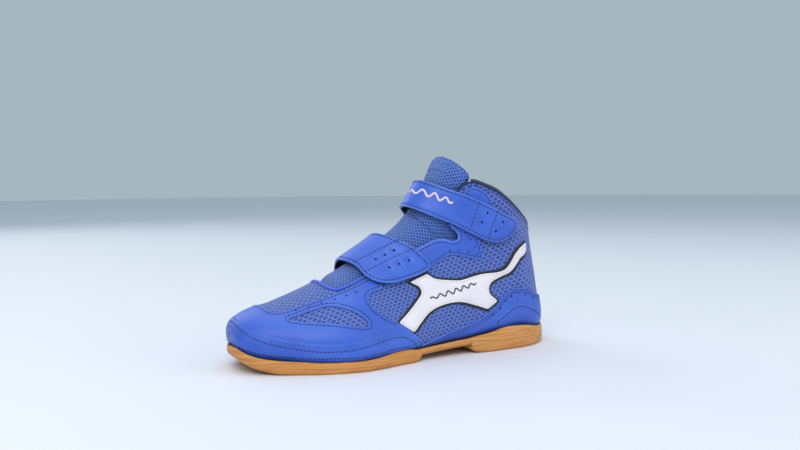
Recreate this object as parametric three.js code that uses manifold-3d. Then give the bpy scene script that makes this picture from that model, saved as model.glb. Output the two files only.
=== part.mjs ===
// A boxing boot for the left foot, 286 mm long, on a gum rubber sole, closed by two hook and loop straps.
// Millimetres. The toe points to -X and the sole stands on Z = 0. The outer (lateral) side is -Y.
//
// Everything above the sole is cut from flat pattern pieces that are wrapped over one shape, the last.
// A place on the last is (k, q). k runs from the toe tip (0) over the ball, the instep and the ankle
// to the collar (14 and more). q runs round a section: 0 on the top centre line, -1 on the bottom and
// back centre line by the outer side, and +1 on the same line by the inner side.

import * as THREE from 'three';
import Module from 'manifold-3d';
import { mergeVertices } from 'three/addons/utils/BufferGeometryUtils.js';

const wasm = await Module();
wasm.setup();

// ---- driving dimensions -------------------------------------------------------------------------

const bootLength = 286;          // outsole, toe to heel
const outsoleWidthOuter = 57;    // from the centre line of the last to the outer side of the sole
const outsoleWidthInner = 51;    // and to the inner side
const shaftRise = 1;             // height of the shaft against the height of the drawn last

const fitGap = 0.3;              // between pieces that lie on each other
const seamGap = 0.004;           // q between two panels that meet along a seam
const panelGap = 0.06;           // k between two panels that meet along a seam

const meshThickness = 1.4;       // outer mesh of the upper, whose outer face is the last's surface
const stiffenerThickness = 1.3;  // toe puff, heel counter and collar foam
const liningThickness = 1.0;
const overlayThickness = 0.9;    // synthetic leather overlays
const underlayThickness = 0.4;   // dark edging sheet under the side overlay
const sideOverlayThickness = 0.8;
const bindingProud = 0.6;        // how far a binding stands out of the mesh
const collarPadDepth = 3;        // extra foam thickness at the collar

const boardThickness = 2.6;      // strobel board under the foot
const insoleThickness = 2.6;     // cushion insole on the board
const sockThickness = 2.2;       // sock liner on top of it

const tongueFaceThickness = 1.0;
const tongueFoamThickness = 2.2;
const tongueLiningThickness = 0.8;
const tongueCrown = 1.0;         // depth of the middle of the tongue below the mesh surface
const tongueWingDrop = 0.6;      // clearance of the tongue's sides below the lining

const loopThickness = 0.7;       // loop fastener patches on the boot
const hookThickness = 0.8;       // hook fastener patches on the straps
const strapThickness = 2.0;
const strapAnchorSlope = 2.1;    // how far the sewn end of a strap drops to the upper

const soleWallLip = 0.3;         // gap between the sole and the upper that it is bonded to

// ---- the last -----------------------------------------------------------------------------------

// One row for each whole number of k: the bottom or back point (x, z), the top or front point (x, z),
// the half width on the outer and inner side, the height share of the widest place, the roundness of
// the lower and upper part, the taper, and how far the top leans to the inner side.
const drawnLength = 280;
const drawnStations = [
  [-140, 26, -140, 26, 0, 0, 0.45, 2.4, 2.1, 0, 4],
  [-138, 17, -138.5, 36, 16, 17, 0.42, 2.8, 2.1, 0, 4],
  [-128, 11, -129, 42.5, 27, 30, 0.38, 3.2, 2.1, 0, 5],
  [-110, 8, -114, 47.5, 37, 40, 0.34, 3.8, 2.1, 0, 6],
  [-86, 6, -96, 52, 47, 46, 0.3, 4.4, 2, 0.1, 7],
  [-58, 6, -76, 59, 54, 47, 0.27, 4.6, 1.9, 0.15, 7],
  [-28, 7, -56, 69, 49.5, 43, 0.25, 4, 1.85, 0.2, 6],
  [3, 8, -37, 80.5, 43, 38, 0.24, 3.5, 1.85, 0.2, 5],
  [35, 9.5, -17, 93, 39, 34, 0.23, 3.2, 1.9, 0.15, 4],
  [70, 11, 1, 106, 37.5, 33, 0.22, 3, 2, 0.1, 3],
  [104, 12, 14, 120, 36, 34, 0.22, 2.8, 2.1, 0.05, 2],
  [135, 17, 23, 134, 34.5, 34, 0.28, 2.4, 2.2, 0, 1],
  [139.5, 45, 31, 148, 33.5, 33.5, 0.4, 2.1, 2.3, 0, 0],
  [135, 78, 38, 160, 33, 33, 0.48, 2, 2.3, 0, 0],
  [129, 113, 44, 171, 32.5, 32.5, 0.5, 2, 2.2, 0, 0],
  [124, 146, 50, 182, 32, 32, 0.5, 2, 2.2, 0, 0],
];
const drawnShaftFoot = 60;       // height from which the shaft rises with shaftRise
const drawnHalfOuter = 54;       // widest half widths of the drawn last
const drawnHalfInner = 47;
const upperInsetOuter = 3;       // how much narrower the upper is than the sole, on each side
const upperInsetInner = 4;
const soleBeyondUpper = 6;       // how much longer the sole is than the upper
const centreShift = (outsoleWidthOuter - outsoleWidthInner) / 2;  // centres the sole on Y = 0

const lengthScale = (bootLength - soleBeyondUpper) / drawnLength;
const outerScale = (outsoleWidthOuter - upperInsetOuter) / drawnHalfOuter;
const innerScale = (outsoleWidthInner - upperInsetInner) / drawnHalfInner;

function shaftHeight(z) {
  return z < drawnShaftFoot ? z : drawnShaftFoot + (z - drawnShaftFoot) * shaftRise;
}

const stations = drawnStations.map(([bx, bz, tx, tz, outer, inner, ...shape]) => [
  bx * lengthScale, shaftHeight(bz), tx * lengthScale, shaftHeight(tz),
  outer * outerScale, inner * innerScale, ...shape,
]);

// Catmull-Rom through the rows, with straight ends.
function stationAt(k) {
  const last = stations.length - 1;
  const i = Math.min(Math.floor(k), last - 1);
  const t = k - i;
  const p1 = stations[i];
  const p2 = stations[i + 1];
  const p0 = i > 0 ? stations[i - 1] : p1.map((value, c) => 2 * value - p2[c]);
  const p3 = i < last - 1 ? stations[i + 2] : p2.map((value, c) => 2 * value - p1[c]);
  return p1.map((value, c) => {
    const v0 = (p2[c] - p0[c]) / 2;
    const v1 = (p3[c] - value) / 2;
    return (2 * value - 2 * p2[c] + v0 + v1) * t ** 3
      + (-3 * value + 3 * p2[c] - 2 * v0 - v1) * t ** 2 + v0 * t + value;
  });
}

// Half of a section, from the bottom point to the top point, in even steps along its length.
const finePerStep = 8;           // points measured for each even step
function halfSection(k, side, steps) {
  const [bx, bz, tx, tz, outer, inner, waist, low, high, taper, lean] = stationAt(k);
  const width = side < 0 ? outer : inner;
  const fine = finePerStep * steps;
  const points = [];
  for (let n = 0; n <= fine; n += 1) {
    const angle = (Math.PI * n) / fine;
    const lower = n <= fine / 2;
    const power = 2 / (lower ? low : high);
    const rise = Math.abs(Math.cos(angle)) ** power;
    const h = lower ? waist * (1 - rise) : waist + (1 - waist) * rise;
    const reach = Math.max(Math.sin(angle), 0) ** power;
    points.push(new THREE.Vector3(
      bx + (tx - bx) * h,
      side * Math.max(width, 0) * reach * (1 + taper * (0.5 - h)) + lean * Math.max(h, 0) ** 1.5,
      bz + (tz - bz) * h,
    ));
  }
  const lengths = [0];
  for (let n = 1; n <= fine; n += 1) {
    lengths.push(lengths[n - 1] + points[n].distanceTo(points[n - 1]));
  }
  const even = [];
  let n = 0;
  for (let s = 0; s <= steps; s += 1) {
    const target = (lengths[fine] * s) / steps;
    while (n < fine - 1 && lengths[n + 1] < target) n += 1;
    const span = lengths[n + 1] - lengths[n];
    even.push(points[n].clone().lerp(points[n + 1], span > 0 ? (target - lengths[n]) / span : 0));
  }
  return even;
}

// The last as a net of flat triangles, so that pieces laid on it at different depths stay parallel.
const kStep = 0.75;
const kRows = Math.round((stations.length - 1) / kStep);
const qHalf = 8;                 // columns on each side
const qColumns = 2 * qHalf;
const qStep = 1 / qHalf;

const net = [];
for (let i = 0; i <= kRows; i += 1) {
  const outerSide = halfSection(i * kStep, -1, qHalf);
  const innerSide = halfSection(i * kStep, 1, qHalf).reverse();
  net.push([...outerSide, ...innerSide.slice(1, qHalf)]);
}
const netNormal = net.map((row) => row.map(() => new THREE.Vector3()));

function addNormal(a, b, c) {
  const [pa, pb, pc] = [a, b, c].map(([i, j]) => net[i][j]);
  const normal = pb.clone().sub(pa).cross(pc.clone().sub(pa));
  for (const [i, j] of [a, b, c]) netNormal[i][j].add(normal);
}
for (let i = 0; i < kRows; i += 1) {
  for (let j = 0; j < qColumns; j += 1) {
    const next = (j + 1) % qColumns;
    addNormal([i, j], [i + 1, next], [i + 1, j]);
    addNormal([i, j], [i, next], [i + 1, next]);
  }
}
const tip = netNormal[0].reduce((sum, normal) => sum.add(normal), new THREE.Vector3());
netNormal[0].forEach((normal) => normal.copy(tip));
const instep = netNormal[kRows / 2][qHalf / 2];
const outward = instep.y < 0 ? 1 : -1;   // the outer side faces -Y
netNormal.flat().forEach((normal) => normal.normalize().multiplyScalar(outward));

const onLine = 1e-7;             // k or q: this near a line of the net counts as on it
const samePlace = 1e-6;          // and this near a place as the same place
const wholeNumber = 1e-5;

// The point (k, q) at a height above the last's surface, on the flat triangle that it falls on.
function onLast(k, q, height) {
  const row = Math.min(Math.max(Math.floor(k / kStep + onLine), 0), kRows - 1);
  const across = (q + 1) / qStep;
  const column = Math.floor(across + onLine);
  const u = k / kStep - row;
  const v = across - column;
  const j0 = ((column % qColumns) + qColumns) % qColumns;
  const j1 = (j0 + 1) % qColumns;
  const corners = u >= v
    ? [[row, j0, 1 - u], [row + 1, j0, u - v], [row + 1, j1, v]]
    : [[row, j0, 1 - v], [row, j1, v - u], [row + 1, j1, u]];
  const point = new THREE.Vector3();
  for (const [i, j, weight] of corners) {
    point.addScaledVector(net[i][j], weight).addScaledVector(netNormal[i][j], weight * height);
  }
  return point;
}

// ---- wrapping a flat pattern piece over the last ------------------------------------------------

// Splits a convex outline by the lines a k + b q = whole number.
function splitByLines(outline, a, b) {
  const value = (p) => a * p[0] + b * p[1];
  let rest = outline;
  const pieces = [];
  const last = Math.max(...outline.map(value));
  for (let line = Math.floor(Math.min(...outline.map(value)) + onLine) + 1; line < last - onLine; line += 1) {
    const below = [];
    const above = [];
    rest.forEach((p, n) => {
      const next = rest[(n + 1) % rest.length];
      const from = value(p) - line;
      const to = value(next) - line;
      if (from < onLine) below.push(p);
      if (from > -onLine) above.push(p);
      if ((from < -onLine && to > onLine) || (from > onLine && to < -onLine)) {
        const t = from / (from - to);
        const cut = [p[0] + (next[0] - p[0]) * t, p[1] + (next[1] - p[1]) * t];
        below.push(cut);
        above.push(cut);
      }
    });
    if (below.length > 2) pieces.push(below);
    rest = above;
  }
  if (rest.length > 2) pieces.push(rest);
  return pieces;
}

// Puts the fragments that share one flat triangle of the net together again, and cuts the outline
// they form into as few triangles as it needs. keep says which corners have to stay.
function joinFragments(fragments, places, keep) {
  const groups = new Map();
  for (const ring of fragments) {
    const centre = [0, 1].map((axis) => ring.reduce((sum, n) => sum + places[n][axis], 0) / ring.length);
    const [row, column] = [centre[0] / kStep, centre[1] / qStep];
    const below = row - Math.floor(row) >= column - Math.floor(column);
    const key = `${Math.floor(row)},${Math.floor(column)},${below}`;
    if (!groups.has(key)) groups.set(key, []);
    groups.get(key).push(ring);
  }
  const faces = [];
  for (const rings of groups.values()) {
    const edges = new Map();
    for (const ring of rings) {
      ring.forEach((from, n) => {
        const to = ring[(n + 1) % ring.length];
        if (edges.get(to)?.has(from)) edges.get(to).delete(from);
        else edges.set(from, (edges.get(from) ?? new Set()).add(to));
      });
    }
    const loops = [];
    for (const [start, ends] of edges) {
      while (ends.size > 0) {
        const loop = [];
        let at = start;
        do {
          loop.push(at);
          const [to] = edges.get(at);
          edges.get(at).delete(to);
          at = to;
        } while (at !== start);
        loops.push(loop.filter(keep));
      }
    }
    const flat = loops.filter((loop) => loop.length > 2).map((loop) => loop.map(
      (n) => new THREE.Vector2(...places[n])));
    const kept = loops.filter((loop) => loop.length > 2);
    const isHole = flat.map((points) => THREE.ShapeUtils.isClockWise(points));
    const holes = flat.filter((points, n) => isHole[n]);
    flat.forEach((points, n) => {
      if (isHole[n]) return;
      const corners = [...kept[n], ...kept.filter((loop, m) => isHole[m]).flat()];
      for (const face of THREE.ShapeUtils.triangulateShape(points, holes)) {
        faces.push(face.map((corner) => corners[corner]));
      }
    });
  }
  return faces;
}

// Names a place so that the same place reached by two sums gets one name. The odd offset keeps
// round numbers away from the edge where rounding could go either way.
const keyOffset = 0.3137;
function placeKey(k, q) {
  return [k, q].map((value) => Math.round(value / wholeNumber + keyOffset)).join();
}

function liesOn([k, q], [ak, aq], [bk, bq]) {
  const [dk, dq] = [bk - ak, bq - aq];
  const t = ((k - ak) * dk + (q - aq) * dq) / (dk * dk + dq * dq);
  const apart = Math.hypot(k - ak - t * dk, q - aq - t * dq);
  return t > -samePlace && t < 1 + samePlace && apart < samePlace;
}
const isWhole = (value) => Math.abs(value - Math.round(value)) < wholeNumber;

// A pattern piece between two heights over the last, which are numbers or functions of k and q.
function panel(outline, bottom, top, holes = []) {
  const flat = (points) => points.map(([k, q]) => new THREE.Vector2(k, q));
  const contour = flat(outline);
  const cuts = holes.map(flat);
  if (THREE.ShapeUtils.isClockWise(contour)) contour.reverse();
  cuts.forEach((hole) => { if (!THREE.ShapeUtils.isClockWise(hole)) hole.reverse(); });
  const corners = [...contour, ...cuts.flat()];
  const heightOf = (height, k, q) => (typeof height === 'function' ? height(k, q) : height);

  const indexOf = new Map();
  const places = [];
  const indexAt = ([k, q]) => {
    const key = placeKey(k, q);
    if (!indexOf.has(key)) {
      indexOf.set(key, places.length);
      places.push([k, q]);
    }
    return indexOf.get(key);
  };
  const fragments = [];
  for (const face of THREE.ShapeUtils.triangulateShape(contour, cuts)) {
    let pieces = [face.map((n) => [corners[n].x, corners[n].y])];
    pieces = pieces.flatMap((piece) => splitByLines(piece, 1 / kStep, 0));
    pieces = pieces.flatMap((piece) => splitByLines(piece, 0, 1 / qStep));
    pieces = pieces.flatMap((piece) => splitByLines(piece, 1 / kStep, -1 / qStep));
    for (const piece of pieces) {
      const ring = piece.map(indexAt).filter((index, n, all) => index !== all[(n + 1) % all.length]);
      if (ring.length > 2) fragments.push(ring);
    }
  }
  const sides = [outline, ...holes].flatMap((ring) => ring.map((p, n) => [p, ring[(n + 1) % ring.length]]));
  const keep = (n) => {
    const [k, q] = places[n];
    return (isWhole(k / kStep) && isWhole(q / qStep)) || sides.some(([a, b]) => liesOn(places[n], a, b));
  };
  const joined = joinFragments(fragments, places, keep);

  // The same place on the last can be reached from both sides of the back line, and at the tip.
  const vertexOf = new Map();
  const used = [];
  const vertexAt = (n) => {
    const [k, q] = places[n];
    const across = q > 1 + samePlace ? q - 2 : q;
    const around = across < -1 + samePlace ? across + 2 : across;
    const key = k < samePlace ? 'tip' : placeKey(k, around);
    if (!vertexOf.has(key)) {
      vertexOf.set(key, used.length);
      used.push([k, around]);
    }
    return vertexOf.get(key);
  };
  const faces = joined.map((face) => face.map(vertexAt)).filter(([a, b, c]) => a !== b && b !== c && c !== a);

  const count = used.length;
  const vertices = [
    ...used.map(([k, q]) => onLast(k, q, heightOf(top, k, q))),
    ...used.map(([k, q]) => onLast(k, q, heightOf(bottom, k, q))),
  ];
  const edges = new Set(faces.flatMap(([a, b, c]) => [`${a},${b}`, `${b},${c}`, `${c},${a}`]));
  const all = [];
  for (const [a, b, c] of faces) {
    all.push([a, b, c], [c + count, b + count, a + count]);
    for (const [from, to] of [[a, b], [b, c], [c, a]]) {
      if (!edges.has(`${to},${from}`)) {
        all.push([from, from + count, to + count], [from, to + count, to]);
      }
    }
  }
  return solid(vertices, all);
}

// A closed geometry from points and triangles, turned so that its faces point out.
function solid(vertices, faces) {
  let volume = 0;
  for (const [a, b, c] of faces) {
    volume += vertices[a].dot(vertices[b].clone().cross(vertices[c]));
  }
  const index = faces.flatMap(([a, b, c]) => (volume > 0 ? [a, b, c] : [a, c, b]));
  const geometry = new THREE.BufferGeometry();
  geometry.setAttribute('position', new THREE.Float32BufferAttribute(
    vertices.flatMap((v) => [v.x, v.y, v.z]), 3));
  geometry.setIndex(index);
  return geometry;
}

// Mirrors half an outline about the top centre line, or about the bottom and back centre line.
const mirrorTop = (half) => [...half, ...half.map(([k, q]) => [k, -q]).reverse()];
function mirrorBack(half) {
  const other = half.map(([k, q]) => [k, 2 - q]).reverse();
  return [...half, ...(half.at(-1)[1] === 1 ? other.slice(1) : other)];
}
const toInner = (outline) => outline.map(([k, q]) => [k, -q]);
const rampUp = (value, from, to) => Math.min(Math.max((value - from) / (to - from), 0), 1);

// ---- heights of the layers over the last's surface ----------------------------------------------

const stiffenerTop = -meshThickness - fitGap;
const collarPadFrom = 10.5;      // k where the collar foam starts to thicken, and where it is full
const collarPadFull = 12.75;
const collarPad = (k) => collarPadDepth * rampUp(k, collarPadFrom, collarPadFull);
const stiffenerBottom = (k) => stiffenerTop - stiffenerThickness - collarPad(k);
const liningTop = (k) => stiffenerBottom(k) - fitGap;
const liningBottom = (k) => liningTop(k) - liningThickness;

const overlayBottom = fitGap;
const overlayTop = overlayBottom + overlayThickness;
const underlayTop = overlayBottom + underlayThickness;
const sideOverlayBottom = underlayTop + fitGap;
const sideOverlayTop = sideOverlayBottom + sideOverlayThickness;

const loopBottom = overlayTop + fitGap;
const loopTop = loopBottom + loopThickness;
const hookBottom = loopTop + fitGap;
const hookTop = hookBottom + hookThickness;
const strapBottom = hookTop + fitGap;
const strapTop = strapBottom + strapThickness;

const boardTop = overlayTop - boardThickness;
const insoleTop = boardTop - fitGap;
const insoleBottom = insoleTop - insoleThickness;
const sockTop = Math.min(insoleBottom, liningBottom(0)) - fitGap;

// ---- edges that several pattern pieces share ----------------------------------------------------

const throatEdge = 0.2;          // q of the throat's edges in the mesh
const liningThroatEdge = 0.252;  // and in the lining, which makes room for the tongue
const throatEnd = 5.3;           // k at the foot of the throat
const liningThroatEnd = 5.05;
const seamK = 7;                 // k of the seam between vamp and quarters
const bottomEdge = 0.86;         // q where the upper meets the board

// Collar edge from the throat to the back, on the inner side.
const collarEdge = [
  [12, 0.2], [12.45, 0.22], [12.75, 0.25], [13.05, 0.3], [13.25, 0.38], [13.45, 0.47],
  [13.55, 0.59], [13.65, 0.72], [13.85, 0.88], [14, 1],
];
// Where the board ends under the toe and under the heel, on the inner side.
const boardToe = [[0.95, 1], [1.15, 0.95], [1.5, 0.89], [2, bottomEdge]];
const boardHeel = [[10.5, bottomEdge], [10.9, 0.9], [11.15, 0.95], [11.2, 1]];

// ---- pieces of the upper ------------------------------------------------------------------------

// Toe, sides and throat foot of the front of the boot.
function vampOutline(throat, end) {
  const half = [
    [0, 1], ...boardToe, [seamK, bottomEdge], [seamK, throat],
    [end + 0.3, throat], [end + 0.1, 0.15], [end, 0.08],
  ];
  return mirrorTop(half);
}

// One side from the vamp seam to the back seam, up to the collar.
function quarterOutline(throat) {
  const back = 1 - seamGap / 2;
  const heel = boardHeel.slice(0, -1);
  return [
    [seamK + panelGap, throat], [seamK + panelGap, bottomEdge],
    ...heel, [boardHeel.at(-1)[0], back], [collarEdge.at(-1)[0], back],
    ...collarEdge.slice(0, -1).reverse().map(([k, q]) => [k, Math.max(q, throat)]),
  ];
}

const toePuffEnd = 2.6;
function toePuffOutline() {
  return mirrorTop([[0, 1], ...boardToe, [toePuffEnd, bottomEdge], [toePuffEnd, 0.4], [toePuffEnd, 0.1]]);
}

function heelCounterOutline() {
  const front = 9.8;
  return mirrorBack([
    [front, 0.64], [front, bottomEdge], ...boardHeel.slice(0, -1),
    [boardHeel.at(-1)[0] + panelGap, 0.99],
  ]).concat([...mirrorBack([[12.7, 0.98], [12.5, 0.74], [11.5, 0.62]])].reverse());
}

function collarFoamOutline() {
  const drop = 0.1;              // the foam stops short of the collar edge
  const top = collarEdge.slice(1, -1).map(([k, q]) => [k - drop, q + 0.01]);
  const back = 1 - seamGap / 2;
  return [
    [11.6, 0.24], [12, 0.45], [12.6, 0.66], [12.95, 0.78], [12.95, back],
    [collarEdge.at(-1)[0] - drop, back], ...top.reverse(),
  ];
}

function collarBindingOutline() {
  const rise = 0.16;
  const lower = collarEdge.map(([k, q]) => [k + panelGap, q]);
  const upper = collarEdge.map(([k, q]) => [k + panelGap + rise, q]);
  upper[0] = [collarEdge[0][0] + panelGap + rise, collarEdge[0][1] + 0.002];
  return mirrorBack(lower).concat(mirrorBack(upper).reverse());
}

// ---- overlays of the upper ----------------------------------------------------------------------

const randTop = [
  [6.97, 0.74], [6.9, 0.66], [6.7, 0.585], [6.35, 0.555], [5.25, 0.535], [4.2, 0.525],
  [3, 0.49], [2.4, 0.455], [1.7, 0.37], [1.3, 0.25], [1.2, 0.1],
];
function toeRandOutline() {
  return mirrorTop([[0, 1], ...boardToe, [6.93, bottomEdge], ...randTop]);
}

// The toe overlay frames a window over the toes and one on each side.
function toeOverlayOutline() {
  const step = 0.016;            // q between the rand and this overlay
  const front = [[1.28, 0.1], [1.38, 0.25], [1.77, 0.37 - step]];
  const lower = [[2.45, 0.455 - step], [3, 0.49 - step], [4.2, 0.525 - step], [5.25, 0.535 - step],
    [6.3, 0.55 - step], [6.62, 0.545]];
  const rear = [[6.5, 0.49], [6.3, 0.43], [6.22, 0.37], [6.28, 0.32], [6.45, 0.3], [7, 0.305]];
  const window = [[7, 0.212], [5.3, 0.212], [4.2, 0.214], [3.55, 0.23], [3.2, 0.215], [3.05, 0.17], [3, 0.08]];
  return mirrorTop([...front, ...lower, ...rear, ...window]);
}
const sideWindow = [
  [3.5, 0.31], [4.2, 0.28], [4.8, 0.272], [5.15, 0.29], [5.5, 0.34], [5.7, 0.39], [5.8, 0.44],
  [5.75, 0.465], [5.5, 0.455], [4.8, 0.4], [4.25, 0.37], [3.7, 0.34],
];

// Saddle under both straps, with a hook-shaped notch by the tongue.
const saddleOutline = [
  [7.15, 0.212], [7.15, 0.31], [8.2, 0.325], [9.2, 0.32], [9.65, 0.322], [10, 0.36], [10.55, 0.43],
  [10.95, 0.38], [11.15, 0.33], [11.2, 0.27], [10.95, 0.222], [10.6, 0.222], [10.63, 0.26],
  [10.52, 0.283], [10.3, 0.29], [10.1, 0.28], [9.9, 0.25], [9.6, 0.225], [9.1, 0.213],
];

// Wide white overlay that runs from the ball up to the back of the ankle.
const sideOverlayOutline = [
  [6.7, 0.515], [7.15, 0.49], [7.7, 0.45], [7.95, 0.425], [8.02, 0.39], [7.85, 0.345], [8.5, 0.345],
  [8.6, 0.385], [8.9, 0.42], [9.3, 0.455], [9.8, 0.472], [10.45, 0.5], [11.4, 0.56], [12.2, 0.64],
  [12.7, 0.72], [12.4, 0.71], [11.85, 0.635], [10.9, 0.548], [10.3, 0.54], [10, 0.56], [9.86, 0.59],
  [9.95, 0.64], [9.45, 0.655], [9.2, 0.61], [8.8, 0.555], [8.3, 0.535], [7.8, 0.54], [7.35, 0.57],
  [6.98, 0.6],
];
// The dark sheet below it shows all round as an edging.
const underlayOutline = [
  [6.62, 0.512], [7.12, 0.478], [7.65, 0.44], [7.88, 0.42], [7.94, 0.39], [7.75, 0.334], [8.54, 0.334],
  [8.67, 0.378], [8.95, 0.409], [9.33, 0.443], [9.83, 0.46], [10.48, 0.488], [11.42, 0.547],
  [12.24, 0.63], [12.82, 0.73], [12.4, 0.724], [11.82, 0.648], [10.88, 0.56], [10.34, 0.552],
  [10.08, 0.567], [9.94, 0.592], [10.04, 0.647], [9.42, 0.668], [9.14, 0.622], [8.77, 0.567],
  [8.3, 0.547], [7.84, 0.552], [7.4, 0.583], [7.02, 0.614],
];

function heelOverlayOutline() {
  const top = [[7.1, 0.68], [7.5, 0.69], [8.6, 0.692], [9.1, 0.685], [9.65, 0.67], [10.15, 0.64],
    [10.5, 0.625], [10.85, 0.628], [11.2, 0.68], [11.45, 0.78], [11.75, 0.9]];
  const lower = [[7.1, bottomEdge], ...boardHeel.slice(0, -1), [boardHeel.at(-1)[0] + panelGap, 0.985]];
  return mirrorBack(lower).concat(mirrorBack(top).reverse());
}

const collarTabOutline = [
  [12.05, 0.232], [12.4, 0.245], [12.65, 0.268], [12.88, 0.305], [13, 0.35], [13.02, 0.395],
  [12.9, 0.415], [12.6, 0.41], [12.2, 0.34],
];

function throatBindingOutline() {
  const inner = throatEdge - 0.028;
  const edge = throatEdge - seamGap;
  const stop = seamK - 0.2;
  const outside = [[stop, edge], [throatEnd + 0.33, edge], [throatEnd + 0.14, 0.145],
    [throatEnd + panelGap, 0.07]];
  const inside = [[stop, inner], [throatEnd + 0.42, inner], [throatEnd + 0.26, 0.13],
    [throatEnd + 0.2, 0.06]];
  return [...mirrorTop(outside), ...mirrorTop(inside).reverse()];
}

// ---- board, insole and sock liner ---------------------------------------------------------------

function footbedOutline(spread, inset) {
  const q = bottomEdge - spread;
  return mirrorBack([
    [0.95 + panelGap + inset, 0.99], [1.2 + inset, 0.955 - spread / 2], [1.55 + inset, 0.895 - spread],
    [2.05 + inset, q + seamGap], [10.45 - inset, q + seamGap], [10.84 - inset, 0.905 - spread],
    [11.09 - inset, 0.955 - spread / 2], [11.14 - inset, 0.99],
  ]);
}

// ---- tongue -------------------------------------------------------------------------------------

const tongueOutline = mirrorTop([
  [5.05, 0.08], [5.2, 0.14], [5.6, 0.2], [7, 0.25], [9, 0.27], [11, 0.24], [11.6, 0.15],
  [12.9, 0.15], [13.15, 0.13], [13.25, 0.08],
]);
const tongueRiseFrom = 5.25;      // k where the tongue comes out from under the vamp
const tongueRiseFull = 6;
function tongueTop(k, q) {
  const under = liningBottom(k) - tongueWingDrop;
  const share = rampUp(k, tongueRiseFrom, tongueRiseFull) * rampUp(-Math.abs(q), -2 * qStep, -qStep);
  return under + (-tongueCrown - under) * share;
}
const tongueLayer = (depth) => (k, q) => tongueTop(k, q) - depth;

// ---- straps -------------------------------------------------------------------------------------

// Edges of a strap as (k, q), from the fastened end on the outer side to the sewn end.
const lowerStrap = {
  front: [[8.15, -0.332], [7.4, -0.315], [7.05, -0.29], [6.83, -0.255], [6.7, -0.2], [6.72, -0.12]],
  rear: [[8.5, -0.332], [8.68, -0.322], [8.76, -0.3], [8.76, -0.27], [8.7, -0.19], [8.5, -0.12]],
  bandFront: [[6.55, -0.04], [6.42, 0.04], [6.35, 0.14]],
  bandRear: [[8.28, -0.04], [8.14, 0.04], [8.06, 0.14]],
  bend: { front: [6.72, -0.12], rear: [8.5, -0.12] },
  hinge: { front: [6.32, 0.22], rear: [8.02, 0.22] },
  anchor: { front: [6.35, 0.32], rear: [7.95, 0.32] },
};
const upperStrap = {
  front: [[11.95, -0.515], [11.5, -0.44], [11.15, -0.35], [10.75, -0.24]],
  rear: [[12.5, -0.578], [12.8, -0.602], [12.94, -0.6], [12.94, -0.57], [12.84, -0.52], [12.55, -0.38],
    [12.16, -0.24]],
  bandFront: [[10.2, -0.12], [9.97, -0.04], [9.9, 0.04], [10.1, 0.12]],
  bandRear: [[11.74, -0.12], [11.54, -0.04], [11.5, 0.04], [11.66, 0.12]],
  bend: { front: [10.75, -0.24], rear: [12.16, -0.24] },
  hinge: { front: [10.6, 0.24], rear: [12.1, 0.24] },
  anchor: { front: [11.1, 0.36], rear: [12.5, 0.36] },
};

const bendGap = 0.003;           // half the gap in q where strap parts bend against each other
function strapTab(strap) {
  return [...strap.front.slice(0, -1), [strap.bend.front[0], strap.bend.front[1] - bendGap],
    [strap.bend.rear[0], strap.bend.rear[1] - bendGap], ...strap.rear.slice(0, -1).reverse()];
}
function strapBand(strap) {
  const { bend, hinge } = strap;
  return [[bend.front[0], bend.front[1] + bendGap], ...strap.bandFront,
    [hinge.front[0], hinge.front[1] - bendGap], [hinge.rear[0], hinge.rear[1] - bendGap],
    ...strap.bandRear.slice().reverse(), [bend.rear[0], bend.rear[1] + bendGap]];
}
function strapAnchor(strap) {
  const { hinge, anchor } = strap;
  return [[hinge.front[0], hinge.front[1] + bendGap], anchor.front, anchor.rear,
    [hinge.rear[0], hinge.rear[1] + bendGap]];
}
// The sewn end slopes down from the strap's own height to the overlay.
function anchorTop(strap) {
  const from = strap.hinge.front[1];
  const to = strap.anchor.front[1];
  return (k, q) => strapTop - strapAnchorSlope * rampUp(q, from, to);
}

const lowerPatch = [[7.35, -0.295], [7.1, -0.27], [6.98, -0.23], [8.5, -0.22], [8.58, -0.27], [8.45, -0.305]];
const upperPatch = [[11.85, -0.485], [11.55, -0.42], [11.4, -0.36], [12.35, -0.37], [12.65, -0.5], [12.6, -0.555]];

// ---- gum rubber sole ----------------------------------------------------------------------------

// Rows along the sole: x, top of the wall, bottom, half width outside and inside.
const drawnSoleHalf = 143;
const drawnSoleOuter = 57;
const drawnSoleInner = 51;
const forefootRows = [
  [-143, 19.5, 11, 5, 5], [-140.5, 18, 8.6, 14, 14], [-136, 15.5, 5.6, 21, 22], [-128, 12.5, 2.4, 29, 32],
  [-115, 10.5, 0, 37, 41.5], [-100, 9.5, 0, 44, 47.5], [-85, 8.5, 0, 51, 50.5], [-57, 8, 0, 57, 51],
  [-39, 9, 0, 55, 48], [-25, 10.5, 0, 51, 45], [-12, 10, 0, 48, 42.5], [-6, 8, 0, 46.5, 41.5],
  [-0.5, 5.5, 2.4, 45, 40.5],
];
const archRows = [[0, 6.4, 3.4, 44, 40], [25, 7.2, 4.2, 40.5, 37.5], [49.5, 9, 6, 39, 36.5]];
const heelRows = [
  [50, 10, 3.2, 39, 36.5], [55, 11.5, 0, 39, 36.5], [70, 15, 0, 39.5, 37.5], [86, 19, 0, 38, 37],
  [106, 18.5, 0, 36, 35.5], [123, 15.5, 0, 28.5, 28.5], [134, 14.5, 1.2, 19, 19], [140, 15, 3.2, 10.5, 10.5],
  [143, 16, 5, 4.5, 4.5],
];
const wallInset = 1.2;           // the wall leans in by this much at its top
const treadChamfer = 1.6;

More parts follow.
